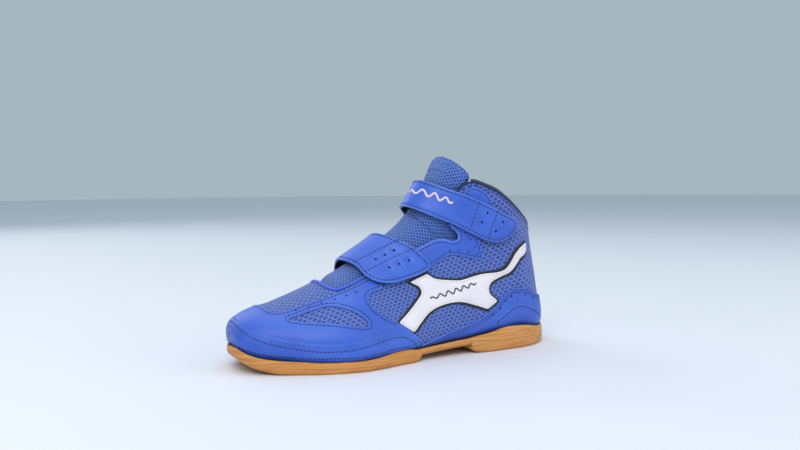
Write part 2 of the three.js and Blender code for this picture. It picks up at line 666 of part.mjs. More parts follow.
function soleBlock(rows) {
  const vertices = [];
  const faces = [];
  const ringSize = 6;
  const half = bootLength / 2 / drawnSoleHalf;
  for (const [x, top, bottom, outer, inner] of rows) {
    const y0 = -outer * (outsoleWidthOuter / drawnSoleOuter);
    const y1 = inner * (outsoleWidthInner / drawnSoleInner);
    const chamfer = Math.min(treadChamfer, (top - bottom) / 3);
    for (const [y, z] of [[y0 + wallInset, top], [y0, bottom + chamfer], [y0 + chamfer, bottom],
      [y1 - chamfer, bottom], [y1, bottom + chamfer], [y1 - wallInset, top]]) {
      vertices.push(new THREE.Vector3(x * half, y, z));
    }
  }
  for (let i = 0; i < rows.length - 1; i += 1) {
    for (let j = 0; j < ringSize; j += 1) {
      const next = (j + 1) % ringSize;
      const [a, b] = [i * ringSize + j, i * ringSize + next];
      faces.push([a, b, b + ringSize], [a, b + ringSize, a + ringSize]);
    }
  }
  const end = (rows.length - 1) * ringSize;
  for (let j = 1; j < ringSize - 1; j += 1) {
    faces.push([0, j + 1, j], [end, end + j, end + j + 1]);
  }
  return solid(vertices, faces);
}

// The whole lasted upper as one body, to cut the sole to its shape.
function upperBody(height) {
  const whole = stations.length - 1;
  const vertices = [];
  const faces = [];
  for (let i = 0; i <= kRows; i += 1) {
    for (let j = 0; j < qColumns; j += 1) {
      vertices.push(onLast(i * kStep, -1 + j * qStep, height));
    }
  }
  for (let i = 0; i < kRows; i += 1) {
    for (let j = 0; j < qColumns; j += 1) {
      const [a, b] = [i * qColumns + j, i * qColumns + ((j + 1) % qColumns)];
      if (i > 0) faces.push([a, b, b + qColumns]);
      faces.push([a, b + qColumns, a + qColumns]);
    }
  }
  // At the tip every point is the same, and the collar end is closed by a flat fan.
  faces.forEach((face) => face.forEach((n, at) => { if (n < qColumns) face[at] = 0; }));
  const middle = vertices.length;
  vertices.push(onLast(whole, 0, height).lerp(onLast(whole, 1, height), 0.5));
  const end = kRows * qColumns;
  for (let j = 0; j < qColumns; j += 1) faces.push([end + j, end + ((j + 1) % qColumns), middle]);
  return solid(vertices, faces);
}

function toManifold(geometry) {
  const bare = mergeVertices(geometry, wholeNumber);
  return new wasm.Manifold(new wasm.Mesh({
    numProp: 3,
    vertProperties: Float32Array.from(bare.attributes.position.array),
    triVerts: Uint32Array.from(bare.index.array),
  }));
}
function fromManifold(body) {
  const mesh = body.getMesh();
  const geometry = new THREE.BufferGeometry();
  geometry.setAttribute('position', new THREE.BufferAttribute(mesh.vertProperties, 3));
  geometry.setIndex(new THREE.BufferAttribute(mesh.triVerts, 1));
  return geometry;
}
const upperCut = toManifold(upperBody(overlayTop + soleWallLip));
function soleCutToUpper(rows) {
  return fromManifold(toManifold(soleBlock(rows)).subtract(upperCut));
}

// ---- colours ------------------------------------------------------------------------------------

const finish = (color, roughness) => ({ color, roughness, metalness: 0 });
const gum = finish(0xc98f52, 0.7);
const blueMesh = finish(0x4a63b4, 0.8);
const blueLeather = finish(0x5878d7, 0.45);
const white = finish(0xebe4e6, 0.4);
const black = finish(0x1c1c28, 0.6);
const foam = finish(0x9aa0a8, 0.9);
const lining = finish(0x23263a, 0.9);

// ---- assembly -----------------------------------------------------------------------------------

const boot = new THREE.Group();
boot.position.y = centreShift;

function add(name, geometry, look) {
  const mesh = new THREE.Mesh(geometry, new THREE.MeshStandardMaterial(look));
  mesh.name = name;
  boot.add(mesh);
}
function addPair(name, outline, bottom, top, look) {
  add(`${name}_lateral`, panel(toInner(outline), bottom, top), look);
  add(`${name}_medial`, panel(outline, bottom, top), look);
}

add('outsole_forefoot', soleCutToUpper(forefootRows), gum);
add('outsole_arch', soleCutToUpper(archRows), gum);
add('outsole_heel', soleCutToUpper(heelRows), gum);

add('strobel_board', panel(footbedOutline(0, 0), boardTop, overlayTop), foam);
add('cushion_insole', panel(footbedOutline(0, 0), insoleBottom, insoleTop), foam);
add('sock_liner', panel(footbedOutline(0.04, 0.3), sockTop - sockThickness, sockTop), lining);

add('vamp_mesh', panel(vampOutline(throatEdge, throatEnd), -meshThickness, 0), blueMesh);
add('vamp_lining', panel(vampOutline(liningThroatEdge, liningThroatEnd), liningBottom, liningTop), lining);
addPair('quarter_mesh', quarterOutline(throatEdge), -meshThickness, 0, blueMesh);
addPair('quarter_lining', quarterOutline(liningThroatEdge), liningBottom, liningTop, lining);
add('toe_puff', panel(toePuffOutline(), stiffenerBottom, stiffenerTop), foam);
add('heel_counter', panel(heelCounterOutline(), stiffenerBottom, stiffenerTop), foam);
addPair('collar_foam', collarFoamOutline(), stiffenerBottom, stiffenerTop, foam);
add('collar_binding', panel(collarBindingOutline(), liningBottom, bindingProud), black);
add('throat_binding', panel(throatBindingOutline(), -meshThickness, bindingProud), black);

add('toe_rand', panel(toeRandOutline(), overlayBottom, overlayTop), blueLeather);
add('toe_overlay', panel(toeOverlayOutline(), overlayBottom, overlayTop, [sideWindow, toInner(sideWindow)]),
  blueLeather);
addPair('saddle_overlay', saddleOutline, overlayBottom, overlayTop, blueLeather);
addPair('side_underlay', underlayOutline, overlayBottom, underlayTop, black);
addPair('side_overlay', sideOverlayOutline, sideOverlayBottom, sideOverlayTop, white);
add('heel_overlay', panel(heelOverlayOutline(), overlayBottom, overlayTop), blueLeather);
addPair('collar_tab', collarTabOutline, overlayBottom, overlayTop, blueLeather);

const foamDepth = tongueFaceThickness + fitGap;
const backDepth = foamDepth + tongueFoamThickness + fitGap;
add('tongue_face', panel(tongueOutline, tongueLayer(tongueFaceThickness), tongueTop), blueMesh);
add('tongue_foam', panel(tongueOutline, tongueLayer(foamDepth + tongueFoamThickness), tongueLayer(foamDepth)),
  foam);
add('tongue_lining', panel(tongueOutline, tongueLayer(backDepth + tongueLiningThickness),
  tongueLayer(backDepth)), lining);

for (const [name, strap, patch, patchBottom] of [
  ['lower_strap', lowerStrap, lowerPatch, loopBottom],
  ['upper_strap', upperStrap, upperPatch, overlayBottom],
]) {
  add(`${name}_band`, panel(strapBand(strap), strapBottom, strapTop), blueLeather);
  add(`${name}_tab`, panel(strapTab(strap), strapBottom, strapTop), blueLeather);
  add(`${name}_anchor`, panel(strapAnchor(strap), loopBottom, anchorTop(strap)), blueLeather);
  add(`${name}_hook_patch`, panel(patch, hookBottom, hookTop), black);
  add(`${name}_loop_patch`, panel(patch, patchBottom, loopTop), black);
}

export default boot;
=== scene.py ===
from math import cos, pi, radians, sin

import bpy
import numpy as np
from mathutils import Matrix, Vector
from mathutils.geometry import delaunay_2d_cdt
from mathutils.kdtree import KDTree


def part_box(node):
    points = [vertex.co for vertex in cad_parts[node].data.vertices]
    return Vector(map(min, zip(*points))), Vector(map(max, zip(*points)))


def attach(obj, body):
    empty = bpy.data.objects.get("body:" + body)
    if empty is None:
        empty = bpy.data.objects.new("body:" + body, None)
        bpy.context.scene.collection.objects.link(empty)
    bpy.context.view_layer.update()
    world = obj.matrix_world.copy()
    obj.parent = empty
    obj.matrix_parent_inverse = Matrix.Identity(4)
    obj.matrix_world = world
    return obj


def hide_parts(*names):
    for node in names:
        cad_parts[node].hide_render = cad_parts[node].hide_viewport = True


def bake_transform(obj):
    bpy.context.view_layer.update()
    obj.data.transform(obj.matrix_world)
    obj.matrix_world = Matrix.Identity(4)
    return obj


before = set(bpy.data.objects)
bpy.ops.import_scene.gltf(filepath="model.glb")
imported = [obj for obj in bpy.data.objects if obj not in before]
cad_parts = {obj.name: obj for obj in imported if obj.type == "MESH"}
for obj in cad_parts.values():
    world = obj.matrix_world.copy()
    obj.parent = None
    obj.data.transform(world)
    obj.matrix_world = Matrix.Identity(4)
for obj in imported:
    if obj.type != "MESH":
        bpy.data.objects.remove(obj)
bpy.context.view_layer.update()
mm = 0.001

# The last, as the CAD model has it, in millimetres. One row for each whole number of k: bottom or back
# point (x, z), top or front point (x, z), half width outside and inside, height share of the widest
# place, roundness below and above it, taper, lean.
lastRows = np.array([
    [-140, 26, -140, 26, 0, 0, .45, 2.4, 2.1, 0, 4],
    [-138, 17, -138.5, 34, 16, 17, .42, 3.2, 2.1, 0, 4],
    [-128, 11, -129, 39.5, 27, 30, .38, 4.2, 2.1, 0, 5],
    [-110, 8, -114, 44.8, 37, 40, .34, 5.2, 2.1, 0, 6],
    [-86, 6, -96, 51, 47, 46, .3, 6.4, 2, .1, 7],
    [-58, 6, -76, 59, 54, 47, .27, 6.8, 1.9, .15, 7],
    [-28, 7, -56, 69, 49.5, 43, .25, 5.6, 1.85, .2, 6],
    [3, 8, -37, 80.5, 43, 38, .24, 4.6, 1.85, .2, 5],
    [35, 9.5, -17, 93, 39, 34, .23, 4, 1.9, .15, 4],
    [70, 11, 1, 106, 37.5, 33, .22, 3.6, 2, .1, 3],
    [104, 12, 14, 120, 36, 34, .22, 2.8, 2.1, .05, 2],
    [135, 14.2, 23, 134, 34.5, 34, .28, 2.5, 2.2, 0, 1],
    [136.5, 45, 31, 148, 33.5, 33.5, .4, 2.1, 2.3, 0, 0],
    [132, 78, 38, 160, 33, 33, .48, 2, 2.3, 0, 0],
    [127, 112, 44, 171, 32.5, 32.5, .5, 2, 2.2, 0, 0],
    [124, 146, 50, 182, 32, 32, .5, 2, 2.2, 0, 0],
])
soleHalfWidth = 57                    # from the last's centre line to the outer side of the sole
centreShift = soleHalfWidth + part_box("outsole_forefoot")[0].y / mm


def through(rows, t):                 # a smooth curve through rows, at row numbers t
    ends = np.vstack([2 * rows[0] - rows[1], rows, 2 * rows[-1] - rows[-2]])
    i = np.clip(np.floor(t).astype(int), 0, len(rows) - 2)
    u = (t - i)[:, None]
    p0, p1, p2, p3 = (ends[i + n] for n in range(4))
    v0, v1 = (p2 - p0) / 2, (p3 - p1) / 2
    return (2 * p1 - 2 * p2 + v0 + v1) * u**3 + (3 * p2 - 3 * p1 - 2 * v0 - v1) * u**2 + v0 * u + p1


last = {"kStep": 0.05, "columns": 320, "fine": 1280}


def lastSection(row, side):           # from the bottom point to the top point, in even steps
    bx, bz, tx, tz, outer, inner, waist, low, high, taper, lean = row
    angle = np.linspace(0, pi, last["fine"] + 1)
    lower = angle <= pi / 2
    power = 2 / np.where(lower, low, high)
    rise = np.abs(np.cos(angle)) ** power
    h = np.where(lower, waist * (1 - rise), waist + (1 - waist) * rise)
    reach = np.maximum(np.sin(angle), 0) ** power
    width = side * max(outer if side < 0 else inner, 0)
    y = width * reach * (1 + taper * (0.5 - h)) + lean * np.maximum(h, 0) ** 1.5
    p = np.stack([bx + (tx - bx) * h, y, bz + (tz - bz) * h], 1)
    length = np.concatenate([[0], np.cumsum(np.linalg.norm(np.diff(p, axis=0), axis=1))])
    even = np.linspace(0, length[-1], last["columns"] // 2 + 1)
    return np.stack([np.interp(even, length, p[:, c]) for c in range(3)], 1)


def lastGrid():
    rows = through(lastRows, np.arange(0, len(lastRows) - 1 + 1e-9, last["kStep"]))
    grid = np.array([np.vstack([lastSection(r, -1), lastSection(r, 1)[::-1][1:-1]]) for r in rows])
    along = np.gradient(grid, axis=0)
    around = (np.roll(grid, -1, 1) - np.roll(grid, 1, 1)) / 2
    normal = np.cross(along, around)
    normal /= np.linalg.norm(normal, axis=2, keepdims=True) + 1e-12
    middle = normal[len(rows) // 2, last["columns"] // 4]
    normal *= -np.sign(middle[1])     # the outer side faces -Y
    normal[0] = normal[1].mean(0) / np.linalg.norm(normal[1].mean(0))
    return grid, normal


grid, gridNormal = lastGrid()
print("last ready", grid.shape)


def sample(table, k, q):
    k, q = np.broadcast_arrays(np.asarray(k, float), np.asarray(q, float))
    x = np.clip(k / last["kStep"], 0, len(table) - 1.000001)
    y = ((q + 1) % 2) * last["columns"] / 2
    i, j = x.astype(int), y.astype(int) % last["columns"]
    u, v = (x - i)[..., None], (y - np.floor(y))[..., None]
    j1 = (j + 1) % last["columns"]
    return ((table[i, j] * (1 - u) + table[i + 1, j] * u) * (1 - v)
            + (table[i, j1] * (1 - u) + table[i + 1, j1] * u) * v)


def normalAt(k, q):
    n = sample(gridNormal, k, q)
    return n / (np.linalg.norm(n, axis=-1, keepdims=True) + 1e-12)


def onLast(k, q, height):             # metres, height in millimetres over the last's surface
    height = np.asarray(height, float)[..., None]
    return (sample(grid, k, q) + normalAt(k, q) * height + [0, centreShift, 0]) * mm


def tangents(k, q):                   # millimetres for one k and for one q
    e = 0.02
    dk = (sample(grid, k + e, q) - sample(grid, np.maximum(k - e, 0), q)) / (e + np.minimum(k, e))[..., None]
    dq = (sample(grid, k, q + e) - sample(grid, k, q - e)) / (2 * e)
    return dk, dq


def stepBy(k, q, move):               # the change of (k, q) for a small move in millimetres
    dk, dq = tangents(k, q)
    a, b, c = (dk * dk).sum(-1), (dk * dq).sum(-1), (dq * dq).sum(-1)
    r, s = (dk * move).sum(-1), (dq * move).sum(-1)
    d = a * c - b * b + 1e-9
    return np.stack([(c * r - b * s) / d, (a * s - b * r) / d], -1)


# A flat chart of the last, round its toe tip, that keeps small shapes nearly true.
girth = np.linalg.norm(np.roll(grid, -1, 1) - grid, axis=2).sum(1)
advance = np.linalg.norm(np.gradient(grid, axis=0), axis=2).mean(1) / last["kStep"]
growth = 2 * pi * advance / np.maximum(girth, 4) * last["kStep"]
chartLog = np.cumsum(growth)
chartLog -= chartLog[int(7 / last["kStep"])]
kTable = np.arange(len(grid)) * last["kStep"]


def chart(k, q):
    r = 100 * np.exp(np.interp(k, kTable, chartLog)) * (np.asarray(k) > 1e-4)
    return np.stack([r * np.cos(pi * q), r * np.sin(pi * q)], -1)


def smoothed(line, times):            # in place, keeping its ends
    for _ in range(times):
        line[1:-1] = (line[:-2] + 2 * line[1:-1] + line[2:]) / 4
    return line


def ramp(value, start, end):
    t = np.clip((value - start) / (end - start), 0, 1)
    return t * t * (3 - 2 * t)


# Outlines. A loop is drawn smoothly through its points, and keeps a small round at its corners.
flatScale = np.array([22.0, 120.0])   # millimetres for one k and one q, near enough for drawing


def drawCurve(points, closed=True, step=0.8, corner=48, soften=3):
    p = np.array(points, float) * flatScale
    n = len(p)
    before, after = np.roll(p, 1, 0), np.roll(p, -1, 0)
    if not closed:
        before[0], after[-1] = 2 * p[0] - p[1], 2 * p[-1] - p[-2]
    d0, d1 = p - before, after - p
    l0, l1 = np.linalg.norm(d0, axis=1), np.linalg.norm(d1, axis=1)
    turn = np.degrees(np.arccos(np.clip((d0 * d1).sum(1) / (l0 * l1 + 1e-12), -1, 1)))
    sharp = turn > corner
    slope = (after - before) / (l0 + l1)[:, None]
    made = []
    for i in range(n if closed else n - 1):
        j = (i + 1) % n
        m0 = d1[i] if sharp[i] else slope[i] * l1[i]
        m1 = d1[i] if sharp[j] else slope[j] * l1[i]
        t = np.linspace(0, 1, max(2, int(np.ceil(l1[i] / step)) + 1))[:-1, None]
        made.append((2 * t**3 - 3 * t**2 + 1) * p[i] + (t**3 - 2 * t**2 + t) * m0
                    + (3 * t**2 - 2 * t**3) * p[j] + (t**3 - t**2) * m1)
    if not closed:
        made.append(p[-1:])
    c = np.vstack(made)
    if not closed:
        return smoothed(c, soften) / flatScale
    for _ in range(soften):
        c = (np.roll(c, 1, 0) + 2 * c + np.roll(c, -1, 0)) / 4
    return c / flatScale


def inset(loop, depth, closed=True):  # moves a loop to its left by depth millimetres
    k, q = loop[:, 0], loop[:, 1]
    p = sample(grid, k, q)
    t = np.roll(p, -1, 0) - np.roll(p, 1, 0) if closed else np.gradient(p, axis=0)
    t /= np.linalg.norm(t, axis=1, keepdims=True) + 1e-12
    side = np.cross(normalAt(k, q), t)
    return loop + stepBy(k, q, side * depth)


def turnsInward(loop):                # +1 if inset() goes to the inside, else -1
    moved = inset(loop, 0.5)
    return 1 if insideOf(chart(loop[:, 0], loop[:, 1]), chart(moved[:, 0], moved[:, 1])).mean() > 0.5 else -1


def insideOf(ring, points):
    result = np.zeros(len(points), bool)
    x, y = points[:, 0], points[:, 1]
    for (ax, ay), (bx, by) in zip(ring, np.roll(ring, -1, 0)):
        if ay == by:
            continue
        result ^= ((ay > y) != (by > y)) & (x < (bx - ax) * (y - ay) / (by - ay) + ax)
    return result


def treeOf(points):
    tree = KDTree(len(points))
    for i, p in enumerate(points):
        tree.insert(p, i)
    tree.balance()
    return tree


def distanceTo(points, rings):        # millimetres from each point to the nearest segment of the rings
    a = np.vstack(rings)
    b = np.vstack([np.roll(r, -1, 0) for r in rings])
    back = np.concatenate([np.roll(np.arange(len(r)), 1) + o for r, o in
                           zip(rings, np.cumsum([0] + [len(r) for r in rings[:-1]]))])
    tree = treeOf(a)
    near = np.array([tree.find(p)[1] for p in points])
    best = np.full(len(points), 1e9)
    for i in (near, back[near]):
        d = b[i] - a[i]
        t = np.clip(((points - a[i]) * d).sum(1) / ((d * d).sum(1) + 1e-12), 0, 1)
        best = np.minimum(best, np.linalg.norm(points - a[i] - d * t[:, None], axis=1))
    return best


def newMesh(name, points, faces, finish=None, sharp=38):
    mesh = bpy.data.meshes.new(name)
    mesh.from_pydata([tuple(p) for p in points], [], [tuple(int(i) for i in f) for f in faces])
    mesh.update()
    mesh.polygons.foreach_set("use_smooth", [True] * len(mesh.polygons))
    if sharp:
        mesh.set_sharp_from_angle(angle=radians(sharp))
    piece = bpy.data.objects.new(name, mesh)
    bpy.context.scene.collection.objects.link(piece)
    if finish:
        mesh.materials.append(finish)
    return piece


def ringFaces(n, m):                  # n closed rings of m points, capped at both ends
    faces = [(i * m + j, i * m + (j + 1) % m, (i + 1) * m + (j + 1) % m, (i + 1) * m + j)
             for i in range(n - 1) for j in range(m)]
    return [*faces, tuple(range(m - 1, -1, -1)), tuple((n - 1) * m + j for j in range(m))]


def write(piece, name, values):
    kind, field = ("FLOAT_VECTOR", "vector") if np.ndim(values) == 2 else ("FLOAT", "value")
    made = piece.data.attributes.new(name, kind, "POINT")
    made.data.foreach_set(field, np.asarray(values, np.float32).ravel())


def flatten(points, faces):           # lays an open sheet flat, in millimetres
    sheet = newMesh("sheetToFlatten", points, faces, sharp=0)
    bpy.context.view_layer.objects.active = sheet
    sheet.select_set(True)
    bpy.ops.object.mode_set(mode="EDIT")
    bpy.ops.mesh.select_all(action="SELECT")
    bpy.ops.uv.unwrap(method="CONFORMAL", margin=0)
    bpy.ops.object.mode_set(mode="OBJECT")
    uv = np.zeros((len(points), 2))
    layer = sheet.data.uv_layers.active.uv
    for loop in sheet.data.loops:
        uv[loop.vertex_index] = layer[loop.index].vector
    a, b, c = (np.array(faces)[:, n] for n in range(3))
    real = np.linalg.norm(np.cross(points[b] - points[a], points[c] - points[a]), axis=1).sum()
    flat = np.abs(np.cross(uv[b] - uv[a], uv[c] - uv[a])).sum()
    uv = (uv - uv.mean(0)) * (real / flat) ** 0.5 / mm
    middle = points - points.mean(0)
    heading = np.array([(uv[:, 0] * middle[:, 0]).sum(), (uv[:, 1] * middle[:, 0]).sum()])
    heading /= np.linalg.norm(heading)
    bpy.data.objects.remove(sheet)
    return np.stack([uv @ heading, uv @ [-heading[1], heading[0]], np.zeros(len(uv))], 1)


# The same for pieces that lie round the boot like a tube: length along X, and girth square to it.
turnLength = np.cumsum(np.linalg.norm((np.roll(grid, -1, 1) - grid)[..., 1:], axis=2), axis=1)[..., None]


def rollOut(k, q):
    around = sample(turnLength, k, np.clip(q, -0.9999, 0.99))[:, 0] - sample(turnLength, k, 0 * k)[:, 0]
    return np.stack([sample(grid, k, q)[:, 0], around, 0 * k], 1)


def settle(piece, body, nodes=()):
    if nodes:
        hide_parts(*nodes)
    if body:
        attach(piece, body)
    return piece


def circleAt(k, q, radius, sides=12):
    angle = np.arange(sides) * 2 * pi / sides
    dk, dq = tangents(np.array([k]), np.array([q]))
    e0 = dk[0] / np.linalg.norm(dk[0])
    e1 = np.cross(normalAt(k, q), e0)
    move = radius * (np.cos(angle)[:, None] * e0 + np.sin(angle)[:, None] * e1)
    centre = np.full(sides, float(k)), np.full(sides, float(q))
    return np.stack(centre, 1) + stepBy(*centre, move)


def valueAt(height, k, q):
    return height(k, q) if callable(height) else np.full(np.shape(k), float(height))


pattern = {"insets": {0.2, 0.5, 1.1}, "grooveSteps": (-0.75, -0.35, 0, 0.35, 0.75), "groove": 0.24,
           "grooveWidth": 0.42, "pressedWidth": 0.6, "crownReach": 3.5, "hole": 0.3, "holeWidth": 0.35,
           "tipStart": 0.12, "underShare": 0.36}


# A pattern piece cut to a loop, with rounded edges, pressed-in stitch lines, punched holes and a flat back.
# windows are cut out, grooves follow the edge at a depth, pressed lines lie anywhere, plain says where the
# outline only butts against the next piece, lay adds flat cloth coordinates, and under is a second finish.
def panel(name, loop, low, high, finish, slotName, nodes=(), body="upper", windows=(), dots=(), grooves=(),
          pitch=2.8, edge=0.45, crown=0.15, plain=None, lay=False, dotSize=0.8, pressed=(), under=None):
    rings = [loop, *windows, *[circleAt(k, q, dotSize) for k, q in dots]]
    charts = [chart(r[:, 0], r[:, 1]) for r in rings]
    edges = [sample(grid, r[:, 0], r[:, 1]) for r in rings]
    big = 1 + len(windows)
    signs = [turnsInward(r) for r in rings[:big]]
    depths = sorted(pattern["insets"] | {g + s for g in grooves for s in pattern["grooveSteps"]})
    firm = edges[:big]
    if plain is not None:
        firm = [e[~plain(r[:, 0], r[:, 1])] for e, r in zip(firm, rings)]
    extra = []
    for n, (r, s) in enumerate(zip(rings[:big], signs)):
        s = s if n == 0 else -s
        for depth in depths:
            moved = inset(r, s * depth)
            away = distanceTo(sample(grid, moved[:, 0], moved[:, 1]), edges[:big])
            extra.append(moved[away > depth * 0.93])
    for centre in dots:
        extra.append(circleAt(*centre, dotSize + 0.35))
    for line in pressed:
        extra += [inset(line, depth, closed=False) for depth in (-0.8, 0, 0.8)]
    overTip = bool(insideOf(charts[0], np.zeros((1, 2)))[0])
    k0, k1 = pattern["tipStart"] if overTip else loop[:, 0].min(), loop[:, 0].max()
    q0, q1 = loop[:, 1].min(), loop[:, 1].max()
    rows, k, odd = [], k0, 0
    while k < k1:
        i = min(int(k / last["kStep"]), len(grid) - 1)
        dq = pitch / max(girth[i] / 2, 1)
        line = np.arange(q0 + odd * dq / 2, q1, dq)
        rows.append(np.stack([np.full(len(line), k), line], 1))
        k, odd = k + pitch * 0.87 / advance[i], 1 - odd
    inside = np.vstack(rows)
    away = distanceTo(sample(grid, inside[:, 0], inside[:, 1]), edges)
    extra.append(inside[away > max(depths) + pitch * 0.6])
    places = np.vstack(extra)
    flat = chart(places[:, 0], places[:, 1])
    inside = insideOf(charts[0], flat)
    for c in charts[1:]:
        inside &= ~insideOf(c, flat)
    places = places[inside]
    if overTip:
        places = np.vstack([places, [[0, 0]]])
    allPlaces = np.vstack([*rings, places])
    count = [len(r) for r in rings]
    starts = np.cumsum([0] + count)
    lines = [(starts[n] + i, starts[n] + (i + 1) % c) for n, c in enumerate(count) for i in range(c)]
    flat = chart(allPlaces[:, 0], allPlaces[:, 1])
    out, _, faces, source, _, _ = delaunay_2d_cdt([Vector(p) for p in flat], lines, [], 0, 1e-7)
    origin = np.array([s[0] if s else -1 for s in source])
    faces = np.array([f for f in faces if len(f) == 3])
    faces = origin[faces]
    faces = faces[(faces >= 0).all(1)]
    middle = flat[faces].mean(1)
    keep = insideOf(charts[0], middle)
    for c in charts[1:]:
        keep &= ~insideOf(c, middle)
    faces = faces[keep]
    used = np.unique(faces)
    renumber = np.full(len(allPlaces), -1)
    renumber[used] = np.arange(len(used))
    faces, allPlaces = renumber[faces], allPlaces[used]
    k, q = allPlaces[:, 0], allPlaces[:, 1]
    base = sample(grid, k, q)
    away = distanceTo(base, firm) if plain is None else openDistance(base, firm)
    profile = -edge * (1 - np.sqrt(1 - (1 - np.clip(away / edge, 0, 1)) ** 2))
    profile = profile + crown * (1 - np.exp(-away / pattern["crownReach"]))
    for g in grooves:
        profile = profile - pattern["groove"] * np.exp(-((away - g) / pattern["grooveWidth"]) ** 2)
    for line in pressed:
        near = openDistance(base, [sample(grid, line[:, 0], line[:, 1])])
        profile = profile - pattern["groove"] * np.exp(-(near / pattern["pressedWidth"]) ** 2)
    if dots:
        near = distanceTo(base, edges[big:])
        profile = profile - pattern["hole"] * np.exp(-(near / pattern["holeWidth"]) ** 2)
    top = onLast(k, q, valueAt(high, k, q) + profile)
    bottom = onLast(k, q, valueAt(low, k, q))
    facing = np.cross(top[faces[:, 1]] - top[faces[:, 0]], top[faces[:, 2]] - top[faces[:, 0]])
    wrong = (facing * normalAt(k, q)[faces[:, 0]]).sum(1) < 0
    faces[wrong] = faces[wrong][:, ::-1]
    sides = [(a, b) for f in faces for a, b in ((f[0], f[1]), (f[1], f[2]), (f[2], f[0]))]
    known = set(sides)
    n = len(top)
    outline = [(a, b) for a, b in sides if (b, a) not in known]
    points, rims = np.vstack([top, bottom]), np.concatenate([away, np.zeros(n)])
    if under:                         # a second layer, glued to the back
        border = sorted({v for side in outline for v in side})
        between = {v: 2 * n + i for i, v in enumerate(border)}
        points = np.vstack([points, bottom[border] + (top - bottom)[border] * pattern["underShare"]])
        rims = np.concatenate([rims, np.zeros(len(border))])
        walls = [(b, a, between[a], between[b]) for a, b in outline]
        backs = [*(faces[:, ::-1] + n), *[(between[b], between[a], a + n, b + n) for a, b in outline]]
    else:
        walls, backs = [(b, a, a + n, b + n) for a, b in outline], list(faces[:, ::-1] + n)
    piece = newMesh(name, points, [*faces, *walls, *backs], finish)
    if under:
        piece.data.materials.append(under)
        first = len(faces) + len(walls)
        second = [int(i >= first) for i in range(first + len(backs))]
        piece.data.polygons.foreach_set("material_index", second)
    write(piece, "rim", rims)
    if lay:
        cloth = rollOut(k, q) if lay == "girth" else flatten(top, faces)
        write(piece, "cloth", np.vstack([cloth, cloth]))
    settle(piece, body, nodes)
    return piece


def openDistance(points, lines):      # as distanceTo, for lines that have gaps
    tree = treeOf(np.vstack(lines))
    return np.maximum(np.array([tree.find(p)[2] for p in points]) - 0.15, 0)


def mirrored(half):                   # over the top centre line
    return [*half, *[(k, -q) for k, q in half[::-1]]]


def overBack(half):                   # over the bottom and back centre line
    other = [(k, 2 - q) for k, q in half[::-1]]
    return [*half, *(other[1:] if half[-1][1] == 1 else other)]


def lateral(points):
    return [(k, -q) for k, q in points]


# Thread: one small capsule for each stitch, along curves given as (k, q) points.
thread = {"length": 2.2, "gap": 0.8, "radius": 0.36, "sides": 6, "stations": (0, 0.12, 0.5, 0.88, 1),
          "widths": (0.35, 0.85, 1, 0.85, 0.35), "rises": (-0.18, 0, 0.1, 0, -0.18)}


def stitches(name, curves, height, finish, body="upper", keep=None, closed=True):
    points, faces = [], []
    pitch, m = thread["length"] + thread["gap"], thread["sides"]
    for curve in curves:
        if closed:
            curve = np.vstack([curve, curve[:1]])
        k, q = curve[:, 0], curve[:, 1]
        p = onLast(k, q, valueAt(height, k, q)) / mm
        length = np.concatenate([[0], np.cumsum(np.linalg.norm(np.diff(p, axis=0), axis=1))])
        number = max(1, int(length[-1] / pitch))
        for n in range(number):
            s0 = (n + 0.5) * length[-1] / number - thread["length"] / 2
            at = s0 + thread["length"] * np.array(thread["stations"])
            kk, qq = np.interp(at, length, k), np.interp(at, length, q)
            if keep is not None and not keep(kk[2], qq[2]):
                continue
            c = np.stack([np.interp(at, length, p[:, i]) for i in range(3)], 1)
            along = c[-1] - c[0]
            if np.linalg.norm(along) < thread["length"] * 0.6:
                continue
            along /= np.linalg.norm(along)
            up = normalAt(kk[2], qq[2])
            side = np.cross(along, up)
            start = len(points)
            for i, (width, rise) in enumerate(zip(thread["widths"], thread["rises"])):
                for j in range(m):
                    a = 2 * pi * j / m
                    spread = thread["radius"] * width * (cos(a) * side + sin(a) * up)
                    points.append((c[i] + up * rise + spread) * mm)
            faces += [(start + i * m + j, start + i * m + (j + 1) % m, start + (i + 1) * m + (j + 1) % m,
                       start + (i + 1) * m + j) for i in range(4) for j in range(m)]
            faces.append(tuple(start + j for j in reversed(range(m))))
            faces.append(tuple(start + 4 * m + j for j in range(m)))
    if not points:
        return None
    piece = newMesh(name, points, faces, finish, sharp=0)
    return settle(piece, body)


def seamOf(loop, depth):              # the stitch line this far inside a loop
    moved = inset(loop, depth * turnsInward(loop))
    away = distanceTo(sample(grid, moved[:, 0], moved[:, 1]), [sample(grid, loop[:, 0], loop[:, 1])])
    return moved[away > depth * 0.9]


def sew(name, loops, depths, height, finish="thread", keep=None):
    stitches(f"{name}_thread", [seamOf(w, depth) for w in loops for depth in depths], height,
             finishes[finish], keep=keep)


